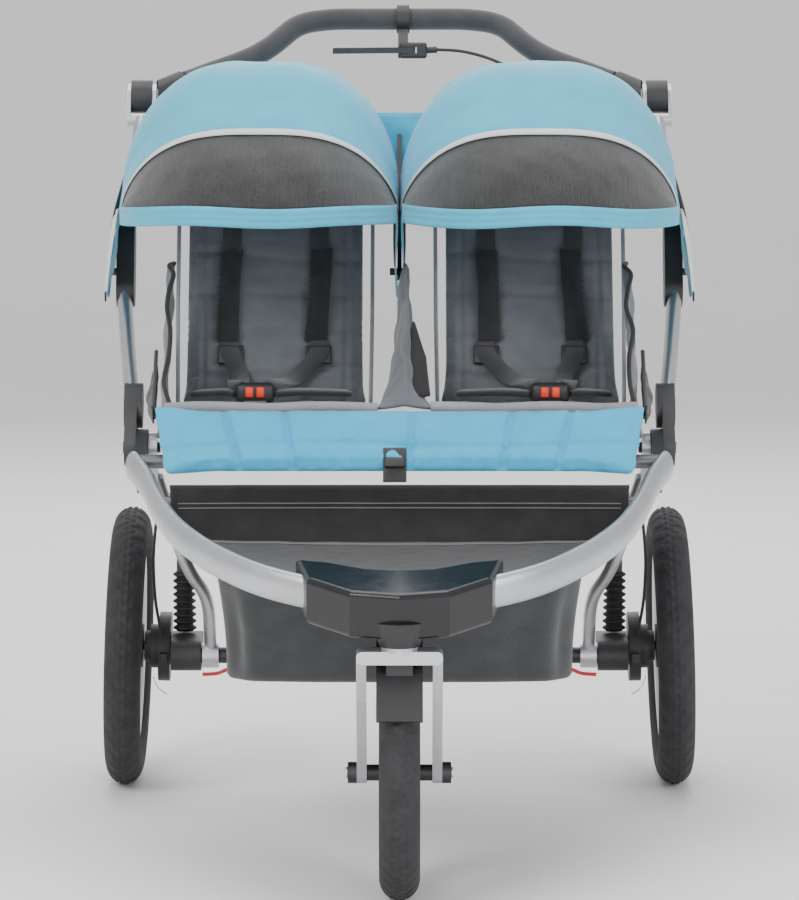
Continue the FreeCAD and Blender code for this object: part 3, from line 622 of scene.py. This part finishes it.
def hood_bow(name, side, angle, radius_share, body):
    """Flat sprung bow under the cloth, with its arms down to the pivots."""
    line = [from_pivot(side * 383.5 * MM, 0.012, angle)]
    line.append(from_pivot(side * 382 * MM, 0.07, angle))
    for k in range(25):
        share = share_of(1 - k / 24) * 0.985
        line.append(from_pivot(hood_x(side, share), hood_radius(share) * radius_share - 0.004, angle))
    line.append(from_pivot(side * 7 * MM, 0.07, angle))
    line.append(from_pivot(side * 6 * MM, 0.012, angle))
    bow = ring_tube(name, smooth_line(line, 3), [(0.0028 * math.cos(t), 0.0016 * math.sin(t)) for t in
                                                 [k * math.pi / 4 for k in range(8)]], BLACK_PLASTIC)
    return finished(bow, body, "black_plastic")


def hood(name, side):
    """One continuous canopy: top cloth, piping, net visor, hem, side cloths and bows."""
    mid = "hood_mid_" + name
    top = surface("canopy_top_" + name, hood_top(side), 90, 72, BLUE, 0.0011)
    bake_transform(top)
    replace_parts(top, "hood_rear_" + name, "hood_mid_" + name)
    piping = surface("canopy_piping_" + name, hood_piping(side), 7, 90, REFLECTIVE, 0.0012)
    finished(piping, mid, "blue_fabric")
    for piece_name, shape, rows, material, thickness in (
            ("canopy_net_", hood_visor(side), 30, NET, 0.0007),
            ("canopy_hem_", hood_hem(side), 15, BLUE, 0.0022)):
        piece = surface(piece_name + name, shape, rows, 84, material, thickness)
        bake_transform(piece)
        "visor_mesh" if "net" in piece_name else "blue_fabric"
        if "net" in piece_name:
            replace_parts(piece, "hood_visor_" + name)
    for part, outer in (("outer", True), ("inner", False)):
        gore = surface("canopy_side_%s_%s" % (part, name), hood_gore(side, outer), 12, 60, BLUE, 0.001)
        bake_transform(gore)
    edge = [from_pivot(side * x * MM, gore_edge(a) + 0.001, a) for a, x in ((42, 367), (31, 371), (20, 377), (8, 382), (-7, 386))]
    strip = strap("canopy_edge_" + name, edge, (0.006, 0.010, 0.009, 0.008), 0.0022, (side, -0.6, 0), REFLECTIVE, 8)
    finished(strip, mid, "blue_fabric")
    tip = edge[-1]
    loop = [tip + Vector((0, 0.006 * math.sin(t), -0.007 + 0.006 * math.cos(t))) for t in
            [k * math.pi / 8 for k in range(16)]]
    ring = ring_tube("canopy_ring_" + name, loop, circle(0.0012, 6), BLACK_PLASTIC, True)
    finished(ring, mid, "black_plastic")
    hood_bow("bow_crease_" + name, side, CREASE_ANGLE, 1.0, mid)
    hood_bow("bow_front_" + name, side, PIPING_ANGLE + 1, 0.98, mid)
    hood_bow("bow_rear_" + name, side, 106, 0.985, "upper_frame")


def rear_curtain():
    """Blue cloth that hangs between the hoods from the cross bar."""
    def shape(u, v):
        x = (v - 0.5) * 0.2
        sag = 0.006 * math.cos((v - 0.5) * math.pi) * u
        return Vector((x, 0.381 - 0.03 * u + 0.002 * ripple(x, u * 0.1, 0.05, 5), 0.921 - 0.075 * u - sag))
    piece = surface("rear_curtain", shape, 14, 30, BLUE, 0.0012)
    finished(piece, "upper_frame", "blue_fabric")


# ---- seats --------------------------------------------------------------------------
RUN = Vector((0, BACK_HEAD[0] - BACK_FOOT[0], BACK_HEAD[1] - BACK_FOOT[1]))
BACK_LENGTH = RUN.length
RUN = RUN.normalized()
FACE = Vector((0, -RUN.z, RUN.y))


def on_back(x, along, off):
    """Point on a backrest: across, up it from its foot, and off its front face."""
    return Vector((x, *BACK_FOOT)) + RUN * along + FACE * (0.012 + off)


def back_turn():
    from mathutils import Matrix
    return Matrix((Vector((1, 0, 0)), RUN, FACE)).transposed()


def groove(distance, width, depth):
    return -depth * np.exp(-(distance / width) ** 2)


def seat_back(name, side, span):
    middle = (span[0] + span[1]) / 2
    width = span[1] - span[0]
    centre = on_back(middle, BACK_LENGTH / 2, -0.012)
    pad = rounded_box("backrest_" + name, centre, (width - 0.012, BACK_LENGTH - 0.012, 0.016), 0.006, GREY, back_turn())
    puffed(pad, 0.009)
    subdivided(pad)
    co = coordinates(pad)
    foot = np.array(on_back(0, 0, -0.012))
    along = (co - foot) @ np.array(RUN)
    off = (co - foot) @ np.array(FACE)
    across = (co[:, 0] - middle) / (width / 2)
    push = np.zeros(len(co))
    for k, line in enumerate((0.05, 0.105, 0.16, 0.215, 0.27, 0.325)):
        bend = line + 0.006 * np.sin(across * 2.5 + k) + 0.01 * across ** 2
        push += groove(along - bend, 0.006, 0.0055) * (0.55 + 0.45 * np.sin(across * 3 + k * 2.1) ** 2)
    for line in (-0.72, 0.72):
        push += groove((across - line) * width / 2, 0.004, 0.004)
    push += 0.0018 * ripple(co[:, 0] * 0.4, along, 0.045, 5 + side)
    front = np.clip(off / 0.006, 0, 1)
    co += np.outer(push * front, np.array(FACE))
    set_coordinates(pad, co)
    finished(pad, "upper_frame", "grey_fabric", "seat_back_" + name)
    border = [on_back(x, a, 0.001) for x, a in (
        (span[0] + 0.004, 0.01), (span[0] + 0.002, 0.18), (span[0] + 0.005, 0.36), (span[0] + 0.03, BACK_LENGTH - 0.006),
        (middle, BACK_LENGTH - 0.001), (span[1] - 0.03, BACK_LENGTH - 0.006), (span[1] - 0.005, 0.36),
        (span[1] - 0.002, 0.18), (span[1] - 0.004, 0.01))]
    finished(cord_piece("backrest_binding_" + name, border, 0.0028, GREY_EDGE), "upper_frame", "grey_fabric")


def seat_cushion(name, side, span):
    middle = (span[0] + span[1]) / 2
    width = span[1] - span[0]
    low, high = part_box("seat_cushion_" + name)
    depth = 0.16
    centre = (middle, low.y + depth / 2 + 0.004, (low.z + high.z) / 2 - 0.002)
    pad = rounded_box("cushion_" + name, centre, (width - 0.014, depth - 0.012, 0.044), 0.012, GREY)
    puffed(pad, 0.010)
    subdivided(pad)
    co = coordinates(pad)
    top = np.clip((co[:, 2] - (high.z - 0.014)) / 0.01, 0, 1)
    lift = 0.0016 * ripple(co[:, 0], co[:, 1], 0.05, 9 + side)
    for line in (-0.06, 0.06):
        lift += groove(co[:, 0] - middle - line, 0.004, 0.005)
    lift += groove(co[:, 1] - (low.y + 0.045), 0.005, 0.005)
    co[:, 2] += lift * top
    co[:, 1] = np.minimum(co[:, 1], 0.118 - np.clip((co[:, 2] - 0.53) * 0.9, 0, 0.03))
    set_coordinates(pad, co)
    finished(pad, "front_frame", "grey_fabric", "seat_cushion_" + name)
    roll = [(span[0] - 0.006 + k * (width + 0.012) / 6, low.y + 0.002, high.z + 0.004 + 0.0012 * math.sin(k * 2.0 + side))
            for k in range(7)]
    finished(cord_piece("cushion_roll_" + name, roll, 0.0075, GREY_EDGE), "front_frame", "grey_fabric")


def wall_outline(u, v, lowest=0.0):
    """y and z of the seats' side walls: u from the bottom up, v from the front back."""
    y = -0.045 + 0.19 * v
    crest = 0.566 + 0.168 * math.sin(min(1.0, v * 1.05) * math.pi / 2) ** 1.15
    foot = 0.524 + lowest
    return y, foot + (crest - foot) * u


def side_wall(name, side):
    def shape(u, v):
        y, z = wall_outline(u, v)
        fold = 0.004 * math.sin(v * 17 + u * 2) * u + 0.0025 * ripple(y, z, 0.06, 13 + side)
        return Vector((side * (0.309 - 0.01 * u) + fold, y, z))
    wall = surface("side_wall_" + name, shape, 26, 40, GREY, 0.004)
    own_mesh(finished(wall, "front_frame", "grey_fabric"))
    rim = [shape(1.0, k / 8) for k in range(9)]
    binding = cord_piece("side_wall_binding_" + name, rim, 0.0032, DARK_CLOTH)
    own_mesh(finished(binding, "front_frame", "grey_fabric"))
    return wall


def divider():
    """Padded wall between the seats, folded over a black trim."""
    def shape(u, v):
        turn = (u - 0.5) * 2
        y, top = wall_outline(1.0, v)
        drop = abs(turn) ** 1.6
        z = top - drop * (top - 0.562)
        width = 0.010 + 0.022 * (1 - v) * drop + 0.004 * drop
        fold = 0.003 * math.sin(v * 15 + turn * 3) * (1 - abs(turn)) + 0.002 * ripple(y, z, 0.05, 21)
        return Vector((0.006 + turn * width + fold, y, z))
    wall = surface("divider_cloth", shape, 34, 44, GREY, 0.003)
    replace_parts(finished(wall, "front_frame", "grey_fabric"), "seat_divider")
    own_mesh(wall)
    trim = [(0.03, -0.02, 0.575), (0.022, 0.02, 0.62), (0.018, 0.05, 0.665)]
    piece = strap("divider_trim", trim, (0.02, 0.026, 0.004), 0.004, (0, -1, 0), DARK_CLOTH, 6)
    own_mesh(finished(piece, "front_frame", "webbing"))


def pocket(name, side):
    """Mesh pocket on the outside of a side wall."""
    def shape(u, v):
        y = -0.02 + 0.12 * v
        top = 0.56 + 0.062 * v
        z = 0.54 + (top - 0.54) * u
        bulge = 0.010 * math.sin(u * math.pi) * math.sin(v * math.pi)
        return Vector((side * (0.318 + bulge + 0.002 * ripple(y, z, 0.04, 17)), y, z))
    bag = surface("pocket_net_" + name, shape, 16, 24, POCKET_NET, 0.001)
    finished(bag, "front_frame", "visor_mesh")
    edge = cord_piece("pocket_elastic_" + name, [shape(1.0, k / 4) for k in range(5)], 0.0028, WEBBING)
    finished(edge, "front_frame", "webbing")
    return bag


# ---- harness ------------------------------------------------------------------------
STRAP_OFFSET = 0.058


def buckle_place(span):
    shift = -0.022 if span[0] < 0 else 0.022
    return Vector(((span[0] + span[1]) / 2 + shift, 0.018, CUSHION_TOP + 0.016))


def shoulder_pad(name, x):
    low = 0.092
    high = 0.228
    pad = rounded_box("shoulder_pad_" + name, on_back(x, (low + high) / 2, 0.009), (0.034, high - low, 0.008),
                      0.003, HARNESS_PAD, back_turn())
    puffed(pad, 0.004, 4.0, 0.004)
    subdivided(pad)
    co = coordinates(pad)
    foot = np.array(on_back(0, 0, 0.009))
    along = (co - foot) @ np.array(RUN)
    shift = 0.0016 * np.sin(along * 70 + x * 20) + 0.006 * np.sin((along - low) / (high - low) * math.pi)
    co += np.outer(shift, np.array(FACE))
    co[:, 0] += 0.004 * np.sin((along - low) * 16 + x * 9)
    set_coordinates(pad, co)
    return pad


def harness(name, side, span):
    middle = (span[0] + span[1]) / 2
    buckle = buckle_place(span)
    pads = []
    for part, sign in (("a", -1), ("b", 1)):
        x = middle + sign * STRAP_OFFSET
        pad = shoulder_pad("%s_%s" % (name, part), x)
        finished(pad, "upper_frame", "webbing")
        pads.append(pad)
        upper = [on_back(x, 0.30, 0.002), on_back(x, 0.27, 0.004), on_back(x, 0.22, 0.012)]
        finished(strap("shoulder_web_%s_%s" % (name, part), upper, (0.025, 0.025), 0.002, FACE, WEBBING, 6),
                 "upper_frame", "webbing")
        slider = rounded_box("slider_%s_%s" % (name, part), on_back(x, 0.075, 0.010), (0.034, 0.026, 0.006), 0.002,
                             BLACK_PLASTIC, back_turn())
        finished(slider, "upper_frame", "black_plastic")
        lower = [on_back(x, 0.10, 0.009), on_back(x, 0.075, 0.014), on_back(x * 0.6 + buckle.x * 0.4, 0.035, 0.022),
                 buckle + Vector((sign * 0.026, 0.02, 0.012)), buckle + Vector((sign * 0.018, 0.006, 0.004))]
        web = strap("lower_web_%s_%s" % (name, part), lower, (0.025, 0.024, 0.022, 0.02), 0.002,
                    (0, -0.8, 0.6), WEBBING, 8)
        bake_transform(web)
        side_end = span[0] + 0.03 if sign < 0 else span[1] - 0.03
        waist = [buckle + Vector((sign * 0.024, 0.006, -0.002)), Vector(((buckle.x + side_end) / 2, 0.03, CUSHION_TOP + 0.016)),
                 Vector((side_end, 0.05, CUSHION_TOP + 0.012))]
        piece = strap("waist_pad_%s_%s" % (name, part), waist, (0.03, 0.045, 0.04), 0.009, (0, 0, 1), HARNESS_PAD, 8)
        piece = subdivided(piece)
        finished(piece, "front_frame", "webbing")
        pads.append(piece)
    case = rounded_box("buckle_case_" + name, buckle, (0.05, 0.026, 0.026), 0.007, BLACK_PLASTIC)
    finished(case, "front_frame", "black_plastic")
    for part, sign in (("a", -1), ("b", 1)):
        button = rounded_box("buckle_key_%s_%s" % (name, part), buckle + Vector((sign * 0.0072, -0.0135, 0.002)),
                             (0.0105, 0.006, 0.014), 0.0022, RED_PLASTIC)
        finished(button, "buckle_button_" + name, "button_red")
        pads.append(button)
    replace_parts(button, "buckle_button_" + name)
    crotch = [buckle + Vector((0, -0.004, -0.01)), buckle + Vector((0, -0.024, -0.012)), buckle + Vector((0, -0.05, -0.017))]
    finished(strap("crotch_web_" + name, crotch, (0.03, 0.03), 0.003, (0, -0.3, 1), WEBBING, 6), "front_frame", "webbing")
    return pads, case


# ---- front panels -------------------------------------------------------------------
LEG_TOP = ((327 * MM), Vector((0, -0.062, 0.566)))
LEG_LOW = ((305 * MM), Vector((0, -0.132, 0.478)))


def leg_pad():
    half_top, top = LEG_TOP
    half_low, low = LEG_LOW
    down = (low - top)
    length = down.length
    down = down.normalized()
    out = Vector((0, down.z, -down.y))
    centre = (top + low) / 2 + out * 0.0085
    from mathutils import Matrix
    turn = Matrix((Vector((1, 0, 0)), -down, out)).transposed()
    pad = rounded_box("leg_pad_cloth", centre, (2 * half_top - 0.014, length - 0.008, 0.012), 0.005, BLUE_PAD, turn)
    co = coordinates(pad)
    puffed(pad, 0.007)
    subdivided(pad)
    co = coordinates(pad)
    along = (co - np.array(top)) @ np.array(down) / length
    narrow = 1 - (1 - half_low / half_top) * np.clip(along, 0, 1)
    across = co[:, 0].copy()
    off = (co - np.array(centre)) @ np.array(out)
    front = np.clip(off / 0.004, 0, 1)
    push = 0.0016 * ripple(across, along * length, 0.055, 23) + 0.0009 * ripple(across, along * 0.02, 0.018, 29)
    for at_top, at_low in ((-0.228, -0.214), (-0.150, -0.142), (0.016, 0.014), (0.146, 0.138), (0.222, 0.212)):
        line = at_top + (at_low - at_top) * along
        push += groove(across - line, 0.0045, 0.0075)
        push += 0.0015 * np.exp(-((across - line) / 0.016) ** 2) * np.sin(along * 16 + at_top * 30)
    push += groove((along - 0.62) * length - 0.003 * np.sin(across * 14), 0.005, 0.0035)
    co += np.outer(push * front, np.array(out))
    co[:, 0] *= narrow
    set_coordinates(pad, co)
    finished(pad, "front_frame", "blue_fabric", "leg_pad")
    tab_top = top.lerp(low, 0.66) + out * 0.020
    tab_low = low + down * 0.006 + out * 0.010
    tab = strap("leg_pad_tab", [tab_top + Vector((-0.006, 0, 0)), (tab_top + tab_low) / 2 + out * 0.002 + Vector((-0.006, 0, 0)),
                                tab_low + Vector((-0.006, 0, 0))], (0.030, 0.030), 0.003, out, WEBBING, 6)
    finished(tab, "front_frame", "webbing")
    clip = rounded_box("leg_pad_clip", (tab_top + tab_low) / 2 + out * 0.006 + Vector((-0.006, 0, 0)), (0.026, 0.014, 0.006),
                       0.002, BLACK_PLASTIC, turn)
    finished(clip, "front_frame", "black_plastic")


def calf_panel():
    low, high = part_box("calf_panel")

    def shape(u, v):
        x = (v - 0.5) * 2 * (0.291 - 0.006 * u)
        z = high.z + 0.008 - u * (high.z + 0.008 - low.z)
        sag = 0.006 * math.sin(u * math.pi) * (1 - (x / 0.3) ** 4)
        return Vector((x, -0.1465 + sag + 0.0008 * ripple(x, z, 0.09, 31), z))
    panel = surface("calf_cloth", shape, 16, 60, DARK_CLOTH, 0.003)
    finished(panel, "front_frame", "black_fabric", "calf_panel")
    for part, z in (("upper", 0.4525), ("lower", 0.4465)):
        u = (high.z + 0.008 - z) / (high.z + 0.008 - low.z)
        line = [shape(u, 0.015 + 0.97 * k / 24) + Vector((0, -0.0022, 0)) for k in range(25)]
        trim = strap("calf_trim_" + part, line, (0.0016, 0.0016), 0.0012, (0, -1, 0), LINE_GREY, 2)
        finished(trim, "front_frame", "black_fabric")


def hoop_inner_half(y):
    """Half width of the space inside the hoop at a depth."""
    plan = ((-0.160, 0.289), (-0.200, 0.276), (-0.245, 0.258), (-0.325, 0.216), (-0.395, 0.152), (-0.432, 0.104))
    for (a, wa), (b, wb) in zip(plan, plan[1:]):
        if y >= b:
            return wa + (wb - wa) * (y - a) / (b - a)
    return plan[-1][1]


def foot_board():
    low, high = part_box("foot_platform")

    def shape(u, v):
        y = -0.152 - 0.276 * u
        half = hoop_inner_half(y)
        across = (v - 0.5) * 2
        z = 0.402 - 0.010 * u - 0.006 * math.sin(u * math.pi) * (1 - across ** 2) + 0.004 * across ** 2
        return Vector((across * half, y, z + 0.0006 * ripple(across * 0.2, y, 0.06, 37)))
    board = surface("foot_board_cloth", shape, 26, 50, DARK_CLOTH, 0.004)
    finished(board, "front_frame", "black_fabric", "foot_platform")
    seam = [shape(0.06, 0.02 + 0.96 * k / 20) + Vector((0, 0, 0.003)) for k in range(21)]
    finished(strap("foot_board_seam", seam, (0.003, 0.003), 0.0015, (0, -0.4, 1), LINE_GREY, 2), "front_frame", "black_fabric")


def basket():
    """Sagging cloth tub with pleated corners."""
    low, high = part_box("basket")
    floor = low.z + 0.002

    def shape(u, v):
        turn = v * 2 * math.pi
        corner = 0.28
        cx = math.copysign(abs(math.cos(turn)) ** corner, math.cos(turn))
        cy = math.copysign(abs(math.sin(turn)) ** corner, math.sin(turn))
        wall = min(1.0, u / 0.6)
        inward = max(0.0, (u - 0.6) / 0.4)
        front = -0.208 + 0.118 * wall
        back = 0.282
        y = (front + back) / 2 + cy * (back - front) / 2
        x = cx * (0.237 - 0.012 * wall)
        rim = 0.381 if cy < 0 else 0.381 - 0.015 * cy
        z = rim + (floor + 0.006 - rim) * wall ** 0.85
        pleat = 0.0045 * math.sin(v * 2 * math.pi * 11) * math.sin(wall * math.pi * 0.9) * (1 - inward)
        bulge = 0.010 * math.sin(wall * math.pi) * (1 - inward)
        centre = Vector((0, (front + back) / 2, z))
        spot = Vector((x, y, z))
        out = Vector((cx, cy, 0)).normalized()
        spot = spot + out * (pleat - bulge * 0.8)
        spot = spot.lerp(Vector((centre.x, centre.y, floor)), inward)
        spot.z -= 0.004 * inward * (1 - inward) * 4 * 0.5
        spot.z = max(spot.z, floor - 0.002)
        return spot
    tub = surface("basket_cloth", shape, 44, 176, BASKET_CLOTH, 0.0022)
    finished(tub, "front_frame", "black_fabric", "basket")
    rim_line = [shape(0.0, k / 88) + Vector((0, 0, 0.001)) for k in range(88)]
    finished(ring_tube("basket_binding", rim_line, circle(0.0035, 8), WEBBING, True), "front_frame", "black_fabric")


# ---- wheels -------------------------------------------------------------------------
CAMBER = math.radians(1.8)


def tyre_mesh(name, radius, centre, lean, material):
    """Tyre with a grooved crown, crescent knobs and side ribs."""
    around = 560
    section = 56
    pitch = 40
    points = []
    for i in range(around):
        turn = 2 * math.pi * i / around
        for j in range(section):
            part = -1 + 2 * j / (section - 1)
            angle = part * math.radians(146)
            width = 0.0244 * math.sin(angle) / max(0.4, 1.0)
            height = 0.0244 * math.cos(angle)
            point_up = 0.0012 * max(0.0, math.cos(angle)) ** 6
            tread = 0.0
            if abs(angle) < math.radians(62):
                phase = (i / around * pitch + 0.35 * abs(part) * 2.2) % 1.0
                shoulder = abs(angle) > math.radians(20)
                block = 0.5 < phase if shoulder else (phase * 2 + (0.5 if part > 0 else 0)) % 1.0 < 0.62
                groove_here = abs(angle) < math.radians(3.2) or abs(abs(angle) - math.radians(20)) < math.radians(3)
                tread = -0.0018 if groove_here or block and shoulder or not block and not shoulder else 0.0
            ring = 0.0005 if abs(abs(angle) - math.radians(92)) < math.radians(5) else 0.0
            r = radius - 0.0244 + height + point_up + tread * max(0.2, math.cos(angle)) + ring
            x = width + math.copysign(ring, width)
            points.append((x, r * math.cos(turn), r * math.sin(turn)))
    faces = grid_faces(around, section, True, False)
    for i in range(around):
        k = (i + 1) % around
        faces.append((i * section + section - 1, i * section, k * section, k * section + section - 1))
    tyre = mesh_object(name, points, faces, material)
    co = coordinates(tyre)
    c, s = math.cos(lean), math.sin(lean)
    co = np.column_stack((co[:, 0] * c + co[:, 2] * s, co[:, 1], -co[:, 0] * s + co[:, 2] * c)) + np.array(centre)
    set_coordinates(tyre, co)
    return tyre


def rim_ring(name, radius, centre, lean, material):
    """Bright rim with rolled edges that covers the wheel's channel."""
    top = radius - 0.0465
    outline = [(-0.0158, top + 0.001), (-0.0165, top - 0.002), (-0.0150, top - 0.0095), (-0.009, top - 0.0138),
               (0, top - 0.0152), (0.009, top - 0.0138), (0.0150, top - 0.0095), (0.0165, top - 0.002), (0.0158, top + 0.001),
               (0.0140, top + 0.002), (0, top - 0.004), (-0.0140, top + 0.002)]
    around = 160
    points = []
    for i in range(around):
        turn = 2 * math.pi * i / around
        points += [(x, r * math.cos(turn), r * math.sin(turn)) for x, r in outline]
    ring = mesh_object(name, points, grid_faces(around, len(outline), True, True), material)
    co = coordinates(ring)
    c, s = math.cos(lean), math.sin(lean)
    co = np.column_stack((co[:, 0] * c + co[:, 2] * s, co[:, 1], -co[:, 0] * s + co[:, 2] * c)) + np.array(centre)
    set_coordinates(ring, co)
    return ring


def box_centre(node):
    low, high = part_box(node)
    return (low + high) / 2


def wheels():
    for name, side in SIDES:
        body = "rear_wheel_set_" + name
        centre = box_centre("rear_tyre_" + name)
        lean = -side * CAMBER
        finished(tyre_mesh("tread_" + name, 0.19, centre, lean, RUBBER), body, "tyre", "rear_tyre_" + name)
        finished(rim_ring("rim_" + name, 0.19, centre, lean, RIM_METAL), body, "alloy")
    centre = box_centre("front_tyre")
    finished(tyre_mesh("tread_front", 0.155, centre, 0, RUBBER), "front_wheel_set", "tyre", "front_tyre")
    finished(rim_ring("rim_front", 0.155, centre, 0, RIM_METAL), "front_wheel_set", "alloy")


# ---- small rear parts ---------------------------------------------------------------
def shock_boot(name, side):
    low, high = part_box("shock_boot_" + name)
    foot = Vector((side * 0.294, 0.352, low.z))
    head = Vector((side * 0.295, 0.3494, high.z))
    ribs = 9
    steps = ribs * 8
    points = []
    for i in range(steps + 1):
        t = i / steps
        radius = 0.0138 + 0.0026 * math.cos(t * ribs * 2 * math.pi + math.pi) - 0.001 * t
        spot = foot.lerp(head, t)
        points += [spot + Vector((radius * math.cos(a), radius * math.sin(a), 0)) for a in
                   [2 * math.pi * k / 28 for k in range(28)]]
    boot = mesh_object("bellows_" + name, points, grid_faces(steps + 1, 28, False, True), BOOT_RUBBER)
    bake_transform(boot)
    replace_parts(boot, "shock_boot_" + name)


def drum_cable(name, side):
    route = [(0.322, 0.150, 0.395), (0.327, 0.19, 0.362), (0.331, 0.235, 0.32), (0.331, 0.288, 0.262), (0.324, 0.306, 0.214)]
    cable = cord_piece("drum_line_" + name, [(side * x, y, z) for x, y, z in route], 0.0022, BOOT_RUBBER)
    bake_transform(cable)
    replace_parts(cable, "drum_cable_" + name)
    wire = [(side * 0.338, 0.345, 0.150), (side * 0.331, 0.338, 0.136), (side * 0.318, 0.333, 0.127)]
    finished(cord_piece("drum_wire_" + name, wire, 0.0008, STEEL), "arm_" + name, "alloy")


def screw(name, place, axis, radius, body):
    """Domed socket screw."""
    axis = Vector(axis).normalized()
    line = [Vector(place) + axis * t for t in (0, 0.0018, 0.003)]
    piece = ring_tube(name, line, circle(radius, 16), STEEL)
    co = coordinates(piece)
    last = co[32:48]
    co[32:48] = last.mean(0) + (last - last.mean(0)) * 0.72
    set_coordinates(piece, co)
    return finished(piece, body, "alloy")


def screws():
    for name, side in SIDES:
        screw("fold_screw_" + name, (side * 0.360, 0.060, 0.500), (side, 0, 0), 0.008, "upper_frame")
        screw("elbow_screw_" + name, (side * 0.371, 0.420, 0.940), (side, 0, 0), 0.007, "upper_frame")
        screw("hub_screw_" + name, (side * 0.3975, 0.370, 0.1895), (side, 0, 0), 0.006, "arm_" + name)
        screw("fork_screw_" + name, (side * 0.063, -0.405, 0.155), (side, 0, 0), 0.007, "fork_set")


# ---- carried-over nodes -------------------------------------------------------------
NODE_LOOKS = (
    (TUBE, ("front_hoop", "side_tube_left", "side_tube_right", "strut_left", "strut_right", "fork")),
    (TUBE_DARK, ("cross_tubes",)),
    (DARK_METAL, ("axle_beam", "back_cross_bar", "handlebar_tube", "front_axle", "shock_necks")),
    (GLOSS_BLACK, ("nose_casting",)),
    (GREY_PLASTIC, ("hinge_covers",)),
    (FOAM, ("handlebar_grip",)),
    (BOOT_RUBBER, ("brake_cable",)),
    (RED_ROD, ("brake_rod",)),
    (BLACK_PLASTIC, ("steering_head", "hinge_lugs", "hood_brackets", "handlebar_elbows", "lever_clamp", "brake_lever",
                     "front_fender", "axle_block_left", "axle_block_right", "front_wheel", "rear_wheel_left",
                     "rear_wheel_right", "brake_drum_left", "brake_drum_right")),
)


def dress_nodes():
    for material, names in NODE_LOOKS:
        for name in names:
            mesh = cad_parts[name].data
            mesh.materials.clear()
            mesh.materials.append(material)


# ---- build --------------------------------------------------------------------------
def build():
    stage_set()
    dress_nodes()
    for name, side in SIDES:
        hood(name, side)
    rear_curtain()
    harness_pads = []
    for (name, side), span in zip(SIDES, SEAT_SPANS):
        seat_back(name, side, span)
        seat_cushion(name, side, span)
        pads, case = harness(name, side, span)
        harness_pads.append((pads, case))
    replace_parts(harness_pads[0][0][0], "shoulder_straps")
    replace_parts(harness_pads[0][0][1], "waist_straps")
    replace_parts(harness_pads[0][1], "buckles")
    walls = [side_wall(name, side) for name, side in SIDES]
    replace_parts(walls[0], "side_panels")
    divider()
    bags = [pocket(name, side) for name, side in SIDES]
    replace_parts(bags[0], "side_pockets")
    leg_pad()
    calf_panel()
    foot_board()
    basket()
    wheels()
    for name, side in SIDES:
        shock_boot(name, side)
        drum_cable(name, side)
    screws()


build()
